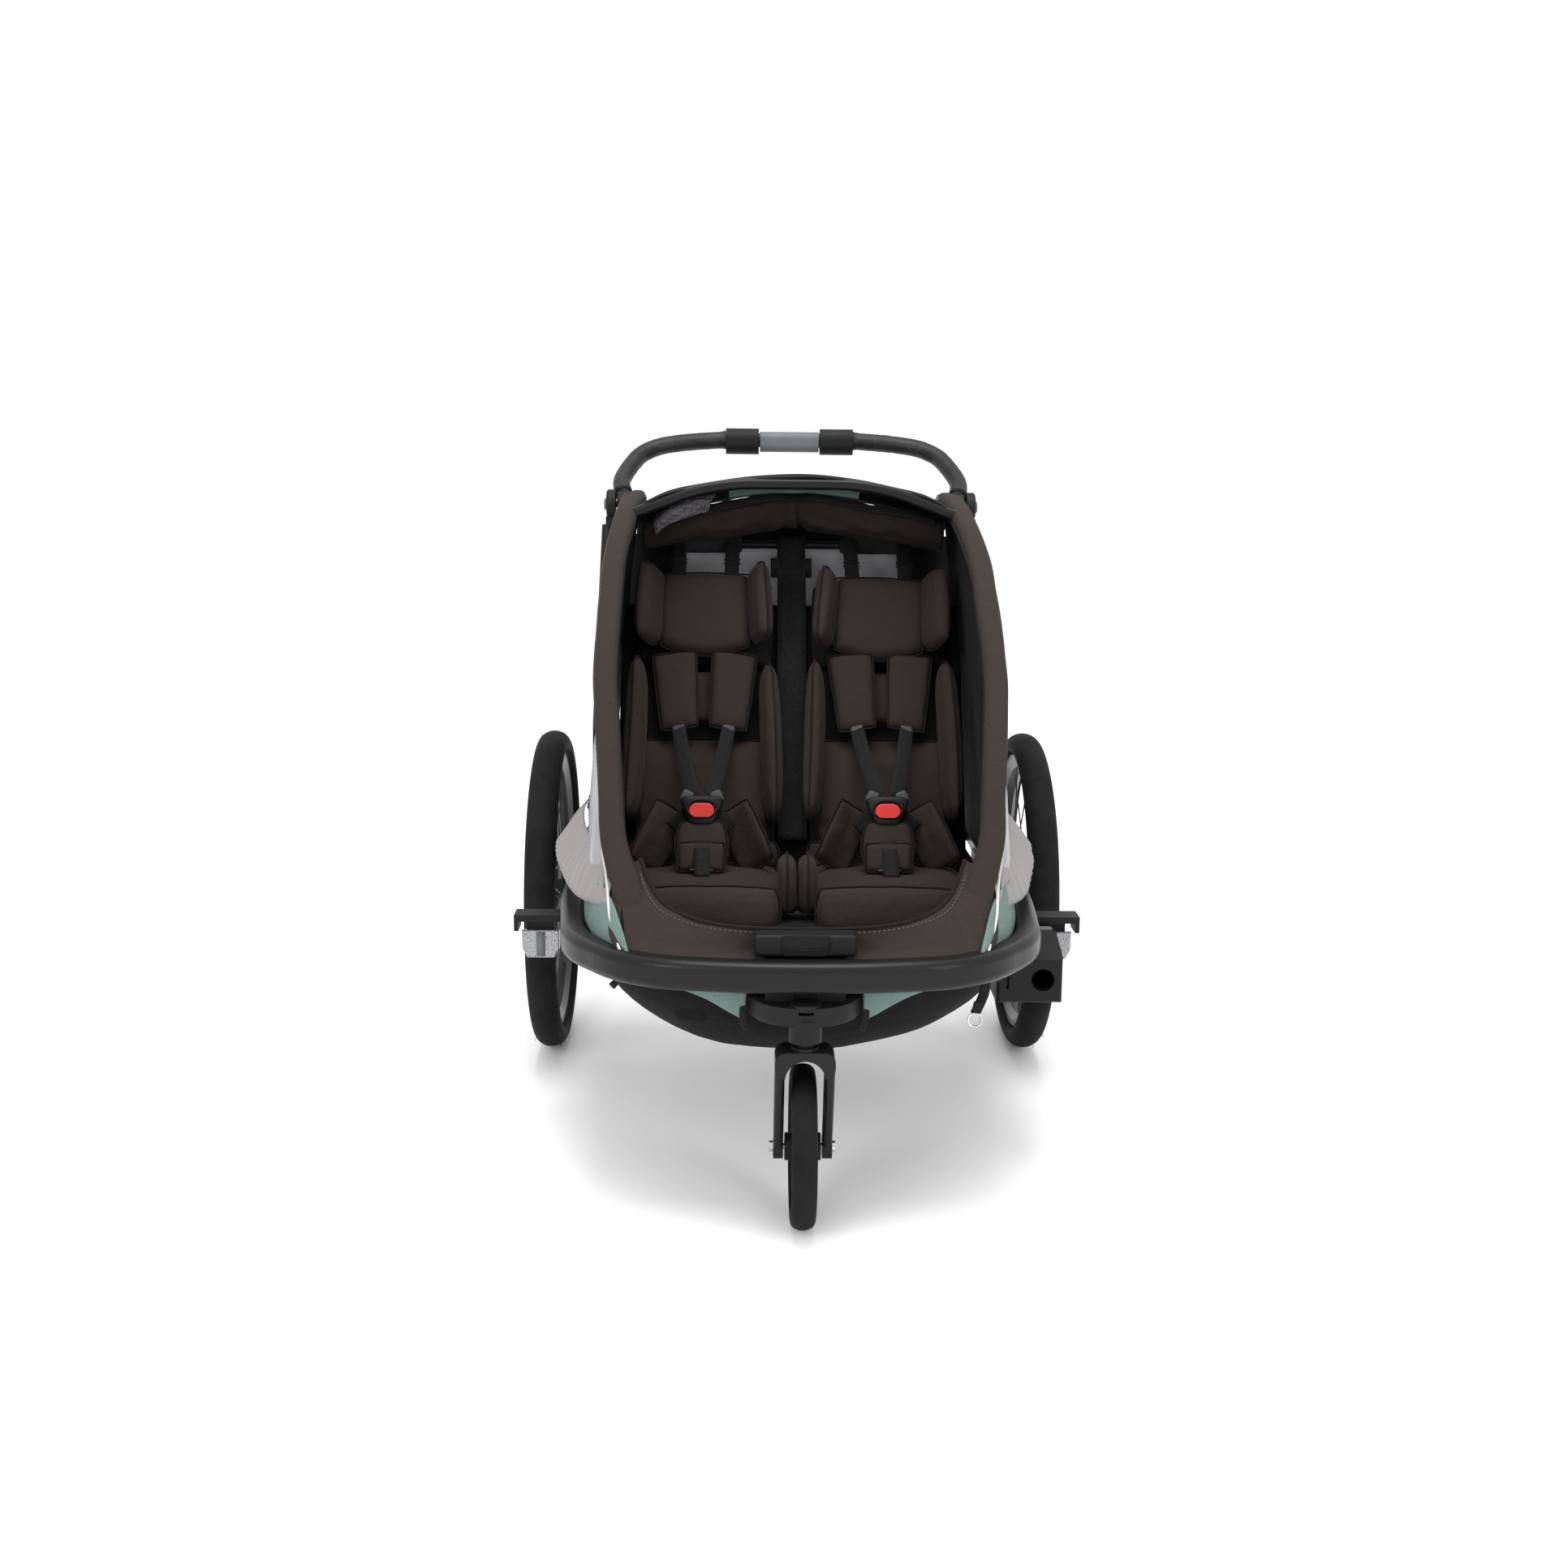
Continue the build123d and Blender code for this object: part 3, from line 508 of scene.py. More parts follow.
def pad(name, size, place, material="brown_fabric", corner=0.35, cap=5.0, bend=None, rim=1.5, channels=(),
    fold=0.9):
    """A sewn pad of two crowned panels joined at a piped rim.

    size is (width, height, depth) in millimetres; bend moves a point of the pad's own frame, in
    millimetres; channels are sewn lines, as ("u" or "v", position from -1 to 1)."""
    width, height, depth = size
    nu = max(10, min(30, int(width / 7)))
    nv = max(10, min(36, int(height / 7)))

    def point(i, j, side):
        u, v = 2 * i / nu - 1, 2 * j / nv - 1
        x = u * width / 2 * math.sqrt(1 - corner * v * v / 2)
        y = v * height / 2 * math.sqrt(1 - corner * u * u / 2)
        full = math.sqrt(max(0.0, (1 - u**6) * (1 - v**6)))
        for axis, position in channels:
            full *= 1 - 0.3 * math.exp(-(((u if axis == "u" else v) - position) / 0.07) ** 2)
        p = Vector((x, y, side * full * depth / 2))
        return place @ ((bend(p) if bend else p) / 1000)

    index, points = {}, []
    for side in (1, -1):
        for i in range(nu + 1):
            for j in range(nv + 1):
                edge = i in (0, nu) or j in (0, nv)
                if edge and side < 0:
                    index[side, i, j] = index[1, i, j]
                    continue
                index[side, i, j] = len(points)
                points.append(point(i, j, side))
    faces = []
    for side in (1, -1):
        for i in range(nu):
            for j in range(nv):
                corners = [(i, j), (i + 1, j), (i + 1, j + 1), (i, j + 1)][::side]
                faces.append(tuple(index[side, a, b] for a, b in corners))
    made = piece_from(name, points, faces, material)
    inflate(made, cap)
    crease(made, fold, 26.0, seed=place.translation.x * 9 + place.translation.z * 5)
    around = [(i, 0) for i in range(nu)] + [(nu, j) for j in range(nv)]
    around += [(nu - i, nv) for i in range(nu)] + [(0, nv - j) for j in range(nv)]
    loop = [made.data.vertices[index[1, i, j]].co.copy() for i, j in around]
    settle(made, 1)
    if rim:
        made = merge([made, cable(name + "_rim", loop + loop[:1], rim / 1000, "dark_brown_and_painted_shade", 6)])
    made.name = name
    return made


def finish_pad(piece, body, fill, *nodes):
    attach(piece, body)
    if nodes:
        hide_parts(*nodes)


def scoop(amount, width):
    """Bends a pad's lower edge down in the middle."""
    def bend(p):
        share = max(0.0, 0.5 - p.y / 118)
        return Vector((p.x, p.y - amount * share * (1 - (2 * p.x / width) ** 2), p.z))
    return bend


def wrap(curve):
    """Bends a pad's sides forward, round a child's head or hips."""
    return lambda p: Vector((p.x, p.y, p.z + curve * (p.x / 60) ** 2))


def headrest(side, x):
    tilt = 2.5 if x > 0 else -0.5
    low = -6 if x > 0 else 0
    dip = scoop(13, 138)
    panel = pad(side + "_headrest", (140, 122, 32), back_place(x, 381 + low, 48, roll=-tilt), corner=0.2,
        bend=dip)
    finish_pad(panel, "upper_frame", 0.7, "headrests")
    for k in (-1, 1):
        name = f"{side}_headrest_{'left' if k < 0 else 'right'}_wing"
        place = back_place(x + k * 83, 384 + low, 68, turn=k * (-62 if k * x > 0 else -72),
            roll=k * 3 - tilt)
        wing = pad(name, (70, 128, 25), place, corner=0.5, cap=4)
        finish_pad(wing, "upper_frame", 0.8)
    for k in (-1, 1):
        foot = back_place(x + k * 40, 432 + low, 46).translation
        top = at(x + k * 42, 44, 800)
        web = strap(f"{side}_headrest_strap_{k + 2}", [foot, foot.lerp(top, 0.5), top], 22, FRONT)
        hang(web)
        middle = foot.lerp(top, 0.45)
        loop = [middle + Vector((dx, -0.003, dz)) for dx,
            dz in ((-0.0125, -0.003), (0.0125, -0.003), (0.0125, 0.003), (-0.0125, 0.003))]
        keeper = cable(f"{side}_headrest_keeper_{k + 2}", loop + loop[:1], 0.0014, "plastic_black")
        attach(keeper, "upper_frame")



def seat_back(side, x):
    lumbar = pad(
        side + "_lumbar_pad", (206, 168, 36), back_place(x, 104, 14), corner=0.28, bend=wrap(3.0),
        channels=[("v", -0.72)]
    )
    finish_pad(lumbar, "chassis", 0.7, "back_pads")
    chest = pad(side + "_chest_pad", (132, 92, 26), back_place(x, 250, 18), corner=0.2,
        channels=[("u", 0.0)])
    finish_pad(chest, "chassis", 0.6)
    upper = pad(side + "_upper_back", (214, 140, 14), back_place(x, 368, 12), "black_fabric", 0.15, 3,
        rim=0)
    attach(upper, "upper_frame")
    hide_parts("upper_backs")
    lining = pad(side + "_back_lining", (222, 300, 10), back_place(x, 156, 2), "black_fabric", 0.08, 2,
        rim=0)
    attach(lining, "chassis")
    for k in (-1, 1):
        name = f"{side}_bolster_{'left' if k < 0 else 'right'}"
        inner = k * x < 0
        place = back_place(x + k * 101, 168 if inner else 172, 60, turn=k * -78, roll=k * 2)
        bolster = pad(name, (62, 252, 23), place, corner=0.55, cap=4,
            bend=lambda p: Vector((p.x - 8 * (p.y / 126) ** 2, p.y, p.z)))
        finish_pad(bolster, "chassis", 0.85, "bolsters")


def shoulder(side, x, buckle):
    """Shoulder pads, their grey adjusters and the webbing down to the buckle."""
    for k in (-1, 1):
        name = f"{side}_shoulder_{'left' if k < 0 else 'right'}"
        place = back_place(x + k * 41, 252, 48, lean=-3, roll=k * -5, turn=k * 10)
        strip = pad(name, (64, 126, 17), place, corner=0.12, cap=3,
            bend=lambda p: Vector((p.x * (1 + 0.0018 * p.y), p.y, p.z)))
        web_top = place @ Vector((0, -0.045, 0.002))
        clip = place @ Vector((0, -0.064, 0.004))
        adjuster = pad(name + "_adjuster", (22, 17, 5), place @ Matrix.Translation((0, -0.061, 0.002)),
            "clip_grey", 0.9, 1, rim=0, fold=0)
        tongue = buckle + Vector((k * 0.013, 0.006, 0.021))
        middle = clip.lerp(tongue, 0.5) + Vector((k * 0.002, 0.004, 0))
        web = strap(name + "_web", [web_top, clip, middle, tongue], 21, Vector((k * 0.25, -0.9, 0.42)))
        upper = back_place(x + k * 34, 322, 30).translation
        lead = strap(name + "_lead", [upper, place @ Vector((0, 0.05, 0))], 21, Vector((0, -0.9, 0.44)))
        for piece, slot in ((web, "webbing"), (lead, "webbing"), (adjuster, "plastic_black")):
            hang(piece, "chassis")
        finish_pad(strip, "chassis", 0.5, "shoulder_pads")


def superellipse(a, b, power, count=24):
    ring = []
    for k in range(count):
        t = 2 * math.pi * k / count
        c, s = math.cos(t), math.sin(t)
        ring.append((a * math.copysign(abs(c) ** (2 / power), c),
            b * math.copysign(abs(s) ** (2 / power), s)))
    return ring


def buckle_piece(side, centre):
    """Five-point buckle: a flared body with side tongues and a raised bezel round the button."""
    tilt = frame_at(centre, RIGHT, Vector((0, math.sin(math.radians(24)), math.cos(math.radians(24)))))
    rings = []
    outline = [(-24, 17, 0.9), (-15, 20, 1), (0, 27, 1), (11, 30, 1), (17, 32, 0.95), (22, 28, 0.7)]
    for height, half, depth in outline:
        ring = superellipse(half / 1000, 0.0085 * depth, 3.2)
        rings.append([tilt @ Vector((a, height / 1000, b)) for a, b in ring])
    body = loft(side + "_buckle", rings, "plastic_black")
    settle(body, 1)
    bezel_ring = superellipse(0.0204, 0.0128, 2.4, 32)
    path = [tilt @ Vector((a, b + 0.001, 0.0085)) for a, b in bezel_ring]
    bezel = cable(side + "_buckle_bezel", path + path[:1], 0.0022, "plastic_black")
    body = merge([body, bezel])
    for k in (-1, 1):
        place = tilt @ Matrix.Translation((k * 0.021, 0.020,
            0.001)) @ Matrix.Rotation(math.radians(k * 24), 4, "Z")
        ear = pad(f"{side}_tongue_{k + 2}", (20, 20, 7), place, "clip_grey", 0.5, 0.5, rim=0, fold=0)
        body = merge([body, ear])
    body.name = side + "_buckle"
    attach(body, "chassis")
    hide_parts("buckles")


def lap(side, x, centre):
    """Crotch strap with its sleeve and pad, and the hip pads."""
    front = Vector((0, -0.93, 0.37))
    down = [centre + Vector((0, 0.002, -0.016)), at(x, -297, 402), at(x + 1, -330, 376),
        at(x + 2, -352, 352)]
    web = hang(strap(side + "_crotch_web", down, 22, front), "chassis")
    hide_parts("lap_webbing")
    slope = frame_at(at(x, -304, 384), RIGHT, Vector((0, 0.5, 0.866)))
    tongue = pad(side + "_crotch_pad", (76, 88, 16), slope, corner=0.75, cap=4)
    finish_pad(tongue, "chassis", 0.6, "lap_pads")
    band = slope @ Matrix.Translation((0, -0.018, 0.008))
    sleeve = pad(side + "_crotch_sleeve", (68, 44, 13), band, corner=0.15, cap=3)
    finish_pad(sleeve, "chassis", 0.5)
    corners = [slope @ Vector((dx, -0.040, 0.014 + dz)) for dx,
        dz in ((-0.013, 0), (0.013, 0), (0.013, 0.004), (-0.013, 0.004))]
    slider = cable(side + "_slider", spline(corners, 24, True) + [spline(corners, 24, True)[0]], 0.0015,
        "clip_grey")
    hang(slider, "chassis")
    for k in (-1, 1):
        name = f"{side}_hip_{'left' if k < 0 else 'right'}"
        place = frame_at(at(x + k * 62, -270, 392), RIGHT, Vector((0, 0.42, 0.9)), turn=k * -38,
            roll=k * 24)
        hip = pad(name, (68, 100, 15), place, corner=0.3, cap=5,
            bend=lambda p: Vector((p.x, p.y, p.z - 6 * math.cos(p.x / 18))), fold=2.2)
        finish_pad(hip, "chassis", 0.4)
        tie = [centre + Vector((k * 0.02, 0.004, -0.004)), at(x + k * 44, -272, 404)]
        hang(strap(name + "_web", tie, 20, front, count=8), "chassis")


def seat_base(side, x):
    k = 1 if x > 0 else -1
    cushion = pad(side + "_seat_cushion", (234, 214, 26), seat_place(x, -300, 331, lean=-3), corner=0.2,
        cap=5)
    finish_pad(cushion, "chassis", 0.6, "seat_cushions")
    roll = frame_at(at(x - k * 14, -464, 331), RIGHT, Vector((0, 0.3, 0.95)))
    front = pad(side + "_seat_roll", (192, 66, 50), roll, corner=0.3, cap=6, channels=[("v", 0.55)])
    finish_pad(front, "chassis", 0.8)
    place = frame_at(at(k * 14, -418, 358), Vector((0, 1, 0)) * k * -1, Vector((0, 0, 1)), roll=k * 6)
    middle = pad(side + "_centre_bolster", (104, 84, 25), place, corner=0.7, cap=4)
    finish_pad(middle, "chassis", 0.8)
    ledge = pad(side + "_seat_ledge", (226, 40, 18),
        frame_at(at(x, -214, 352), RIGHT, Vector((0, 0.3, 0.95))), corner=0.2, cap=4)
    finish_pad(ledge, "chassis", 0.7)


def seat_deck():
    """Cloth deck under the seats, from one rail to the other."""
    rails = [[at(x, y, DECK_Z) for x in (-284, -142, 0, 142, 284)] for y in (-520, -340, -160, 20)]
    deck = sheet_from("seat_deck", rails, 50, 30, "black_fabric", 2.0, lambda u, v,
        p: Vector((0, 0, 0.003 * noise.noise(p * 12))))
    hang(deck, "chassis")
    cloth(deck, (0.568, 0.54), "stretched", "bumper_loop")


def seats():
    seat_deck()
    for side, x in (("left", -SEAT_X), ("right", SEAT_X)):
        low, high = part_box(side + "_buckle_button")
        centre = (low + high) / 2 + Vector((0, 0.008, -0.001))
        headrest(side, x)
        seat_back(side, x)
        shoulder(side, x, centre)
        buckle_piece(side, centre)
        lap(side, x, centre)
        seat_base(side, x)


# ---- fabric of the cabin ----
def pillar_place(turn, k):
    """The pillar's centre at an angle round its arc: 0 at the roof, ARC_TURN at the foot; k is the side."""
    t = turn / ARC_TURN
    stops = [(0, 238), (0.125, 245.5), (0.375, 257), (0.625, 257), (0.875, 237), (1.0, 202)]
    x = stops[-1][1]
    for (a, xa), (b, xb) in zip(stops, stops[1:]):
        if a <= t <= b:
            s = (t - a) / (b - a)
            x = xa + (xb - xa) * s * s * (3 - 2 * s) if a == 0 or b == 1 else xa + (xb - xa) * s
    angle = math.radians(turn)
    return at(k * x, ARC_Y - ARC_RADIUS * math.sin(angle), ARC_Z + ARC_RADIUS * math.cos(angle))


def pillar_path(k, first, last, count):
    rough = [pillar_place(first + (last - first) * i / 16, k) for i in range(17)]
    return spline(rough, count)


def sleeves():
    """Fabric channels round the pillars, with a bound inner edge."""
    for k, side in SIDES:
        path = pillar_path(k, ARC_TURN - 0.4, 2.5, 90)
        facing = []
        for p in path:
            centre = at(0, ARC_Y, ARC_Z)
            facing.append(Vector((0, p.y - centre.y, p.z - centre.z)).normalized())

        def section(t):
            grow = 1 + 0.35 * math.exp(-((t / 0.10) ** 2)) - 0.25 * max(0.0, (t - 0.9) / 0.1) ** 2
            return superellipse(0.0152 * grow, 0.0158 * (1.1 - 0.2 * t), 3.4, 32)

        sleeve = swept(side + "_sleeve", path, section, "brown_fabric", facing)
        crease(sleeve, 1.1, 16.0, (1, 0.5, 0.5), seed=k)
        inner = [p + Vector((-k * 0.0150, 0, 0)) + out * 0.004 for p, out in zip(path, facing)]
        outer = [p + Vector((k * 0.0128, 0, 0)) + out * 0.0125 for p, out in zip(path, facing)]
        binding = cable(side + "_sleeve_binding", inner[2:-2], 0.0022, "dark_brown_and_painted_shade", 6)
        seam = stitches(side + "_sleeve_stitches", outer[3:-3])
        for piece, slot in ((sleeve, "brown_fabric"), (binding, "brown_fabric"), (seam, "brown_fabric")):
            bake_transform(piece)
        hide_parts("pillar_sleeves")
        cloth(sleeve, (0.052, 0.98), "stretched", side + "_pillar")


EDGE = [(-202, -634, 440), (-190, -655, 414), (-170, -684, 394), (-140, -708, 384), (-100, -722, 378),
    (-50, -726, 375)]
FOLD = [(-225, -640, 428), (-222, -668, 396), (-205, -704, 368), (-160, -726, 358), (-105, -736, 352),
    (-55, -731, 347)]
HEM = [(-238, -640, 412), (-240, -672, 380), (-228, -722, 350), (-170, -748, 345), (-105, -757, 343),
    (-52, -760, 342)]


def both_halves(points, middle):
    left = [at(*p) for p in points]
    right = [at(-x, y, z) for x, y, z in reversed(points)]
    return left + [at(*middle)] + right


def front_flap():
    """Low wall between the pillar feet, with its bound top edge, stitching and the piping beside it."""
    rails = [
        both_halves(EDGE, (0, -726, 374)),
        both_halves(FOLD, (0, -728, 347)),
        both_halves(HEM, (0, -760, 342)),
    ]

    def warp(u, v, p):
        side = min(1.0, abs(p.x) / 0.10)
        gather = noise.noise(Vector((p.x * 26, p.z * 9, 3.1))) * 0.0052 + noise.noise(p * 60) * 0.0016
        fold = math.exp(-(((abs(p.x) - 0.178) / 0.02) ** 2)) * 0.006
        return Vector((0, -1, 0.5)).normalized() * (gather * side * math.sin(math.pi * min(1, v + 0.1))
            + fold * v * (1 - v))

    flap = sheet_from("front_flap_cloth", rails, 150, 16, "brown_fabric", 2.2, warp)
    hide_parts("front_flap")
    cloth(flap, (0.66, 0.075), "stretched", "bumper_loop")
    edge = spline(rails[0], 120)
    binding = cable("flap_binding", [p + Vector((0, -0.001, 0.001)) for p in edge], 0.0026, "dark_brown_and_painted_shade",
        6)
    hang(flap, "chassis")
    hang(binding, "chassis")
    line = [p.lerp(q, 0.2) + Vector((0, -0.0035, 0.002)) for p, q in zip(edge, spline(rails[1], 120))]
    for k, row in ((1, line[4:52]), (2, line[68:116])):
        hang(stitches(f"flap_stitches_{k}", row), "chassis")
    for k in (-1, 1):
        side = "left" if k < 0 else "right"
        run = [(-250, -628, 452), (-243, -650, 412), (-238, -680, 380), (-229, -708, 358),
            (-222, -730, 348)]
        path = spline([at(-k * x, y, z) for x, y, z in run], 40)
        hang(cable(side + "_piping", path, 0.0018, "piping"), "chassis")


def rail_line(y):
    """Inner edge of the bumper's side rail: x, in millimetres, for a y."""
    stops = [(-742, 205), (-700, 238), (-640, 264), (-560, 279), (-430, 287), (60, 287)]
    for (ya, xa), (yb, xb) in zip(stops, stops[1:]):
        if y <= yb:
            return xa + (xb - xa) * (y - ya) / (yb - ya)
    return stops[-1][1]


def arc_line(y):
    """The sleeve's outer edge beside a y: x and z, in millimetres."""
    if y < -640:
        s = (y + 742) / 102
        return 210 + (244 - 210) * s, RAIL_TOP - 2 + 74 * s**1.4
    turn = math.degrees(math.asin(min(1.0, (ARC_Y - y) / ARC_RADIUS)))
    p = pillar_place(turn, 1)
    return p.x * 1000 + 3, p.z * 1000 - 4


def side_point(y, height, k, inside=0.0):
    """On the cabin's side wall: height from 0 at the rail to 1 at the pillar's arc."""
    top_x, top_z = arc_line(y)
    x = rail_line(y) + (top_x - rail_line(y)) * height + 4 * math.sin(math.pi * height) - inside
    return at(k * x, y, RAIL_TOP - 4 + (top_z - RAIL_TOP + 4) * height)


def wing_height(y):
    """Share of the wall's height where the mudguard wing is sewn on."""
    top = arc_line(y)[1]
    line = 402 + 34 * min(1.0, (y + 700) / 420)
    share = max(0.0, min(0.92, (line - RAIL_TOP) / max(20, top - RAIL_TOP)))
    return share + (1 - share) * min(1.0, max(0.0, (-640 - y) / 40))


def wall(name, k, y0, y1, low, high, material, columns, rows, wrinkle, inside=0.0, thick=2.0):
    """One panel of the side wall, between two height lines."""
    rails = []
    for r in range(5):
        line = []
        for i in range(12):
            y = y0 + (y1 - y0) * i / 11
            a, b = low(y), high(y)
            line.append(side_point(y, a + (b - a) * r / 4, k, inside))
        rails.append(line)

    def warp(u, v, p):
        pull = noise.noise(Vector((p.y * 24, p.z * 5, k * 2.0))) + 0.4 * noise.noise(p * 50)
        return Vector((k, -0.2, 0)) * (wrinkle / 1000 * pull * math.sin(math.pi * v) ** 0.5)

    return sheet_from(name, rails, columns, rows, material, thick, warp)


def side_walls():
    for k in (-1, 1):
        side = "left" if k < 0 else "right"
        front, rear = -738, 44
        lower = wall(side + "_lower_panel", k, front, rear, lambda y: 0.0, wing_height, "green_fabric",
            110, 12, 3.0)
        window = wall(side + "_window", k, -640, 0, wing_height, lambda y: 0.86, "window_film", 60, 20,
            2.0, 1.0, 1.2)
        frame_top = wall(side + "_top_border", k, -645, rear, lambda y: 0.84, lambda y: 1.0,
            "green_fabric", 60, 8, 1.0)
        back = wall(side + "_rear_border", k, -8, rear, lambda y: 0.1, lambda y: 0.98, "green_fabric", 10,
            40, 1.5)
        lining = wall(side + "_lining", k, -655, -560, lambda y: 0.3, lambda y: 1.0, "green_fabric", 14,
            20, 2.0, 9.0)
        inner = wall(side + "_inner_wall", k, -705, rear, lambda y: 0.0, lambda y: 0.97, "black_fabric",
            50, 30, 2.0, 4.5)
        for piece, slot, flat in (
            (lower, "green_fabric", (0.80, 0.11)),
            (window, "window_film", (0.66, 0.42)),
            (frame_top, "green_fabric", (0.92, 0.09)),
            (back, "green_fabric", (0.06, 0.47)),
            (lining, "green_fabric", (0.11, 0.2)),
            (inner, "black_fabric", (0.80, 0.45)),
        ):
            cloth(piece, flat, "stretched", "bumper_loop")
        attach(lower, "chassis")
        for piece in (window, frame_top, back, lining, inner):
            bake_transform(piece)
        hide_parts("cabin_sides")
        wing(side, k)


def wing(side, k):
    """Flared mudguard of thin cloth in front of and beside the wheel."""
    rails = [
        [at(k * 236, -652, 432), at(k * 262, -560, 436), at(k * 288, -420, 440), at(k * 300, -280, 436),
        at(k * 300, -170, 430)],
        [at(k * 238, -656, 412), at(k * 276, -560, 412), at(k * 304, -420, 414), at(k * 322, -280, 408),
        at(k * 324, -170, 402)],
        [at(k * 243, -664, 384), at(k * 290, -560, 376), at(k * 322, -420, 380), at(k * 341, -270, 382),
        at(k * 342, -180, 372)],
    ]

    def warp(u, v, p):
        ripple = math.sin(p.y * 230 + 3 * noise.noise(p * 9)) * 0.0012 * math.sin(math.pi * u)
        return Vector((k * 0.6, 0, 0.8)) * (ripple + 0.004 * noise.noise(p * 14) * v)

    guard = sheet_from(side + "_wing", rails, 90, 14, "grey_fabric", 1.6, warp)
    hang(guard, "chassis")
    cloth(guard, (0.52, 0.075), "stretched", side + "_lower_panel")


def roof_height(x):
    """Top of the arched roof bar at x, in millimetres."""
    return 850 + 46 * math.cos(min(1.0, abs(x) / 246) * math.pi / 2) ** 0.9


def rolled_cover():
    """The front cover rolled up under the roof bar, tied by a strap in the middle."""
    rings, top = [], []
    for i in range(97):
        x = -226 + 452 * i / 96
        tie = math.exp(-((x / 16) ** 2))
        sag = 7 * math.sin(math.pi * min(1, abs(x) / 200)) ** 2
        tall = (29 - 9 * tie - 6 * (abs(x) / 226) ** 2) / 1000
        deep = (29 - 9 * tie - 6 * (abs(x) / 226) ** 3) / 1000
        centre = at(x, -66, roof_height(x) - 45 - sag)
        fold = 0.0028 * noise.noise(Vector((x / 16, 1.0, 0)))
        ring = superellipse(deep, tall, 2.3, 40)
        points = []
        for k, (a, b) in enumerate(ring):
            ripple = 1 + 0.16 * noise.noise(Vector((x / 34, k * 0.35,
                4.0))) + 0.05 * noise.noise(Vector((x / 9, k * 0.8, 9.0)))
            points.append(centre + Vector((0, a * ripple, b * ripple + fold)))
        rings.append(points)
        top.append(centre + Vector((0, -deep * 0.86, tall * 0.62)))
    # The rolled cover takes the darker brown: partly its own brown-black cloth, partly painted shade for the
    # shadow it lies in under the roof bar.
    roll = loft("rolled_front_cover", rings, "dark_brown_and_painted_shade")
    roll = settle(roll, 1)
    hang(roll)
    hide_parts("rolled_cover")
    zip_line = spline([p + Vector((0, -0.003, 0.003)) for p in top[3:-3]], 150)
    tape = strap("cover_zip_tape", zip_line, 9, Vector((0, -0.85, 0.5)), "black_fabric", 1.0, 100)
    teeth = stitches("cover_zip_teeth", [p + Vector((0, -0.0014, 0.001)) for p in zip_line], 1.6, 1.3,
        1.3, "dark_brown_and_painted_shade")
    hang(tape)
    hang(teeth)
    around = [at(-4, -66, 0) + Vector((0, a * 1.06, b * 1.1)) for a,
        b in superellipse(0.021, 0.0235, 2.3, 28)]
    lift = Vector((0, 0, (roof_height(0) - 46) / 1000))
    path = [p + lift for p in around] + [around[0] + lift]
    tie_ring = [(-0.009, -0.001), (0.009, -0.001), (0.009, 0.001), (-0.009, 0.001)]
    outward = [(p - (at(-4, -66, 0) + lift)).normalized() for p in path]
    hang(swept("cover_tie", path, lambda t: tie_ring, "dark_brown_and_painted_shade", outward, True))


def crumpled_net():
    """Loose insect net bunched beside the rolled cover."""
    rails = [
        [at(-206, -96, 812), at(-190, -104, 826), at(-160, -104, 838), at(-128, -98, 848)],
        [at(-210, -92, 826), at(-192, -108, 840), at(-160, -108, 854), at(-124, -98, 862)],
        [at(-205, -84, 842), at(-185, -92, 854), at(-155, -92, 866), at(-118, -88, 872)],
    ]

    def warp(u, v, p):
        turn = p * 42 + Vector((v * 3.5, u * 1.2, 0))
        return Vector((0.2, -1, 0.3)) * (0.0075 * (1 - 2 * abs(noise.noise(turn))) + 0.003
            * noise.noise(p * 150))

    net = sheet_from("bunched_net", rails, 60, 40, "grey_net", 0.9, warp)
    hang(net)
    cloth(net, (0.13, 0.09), "gathered", "rolled_front_cover")


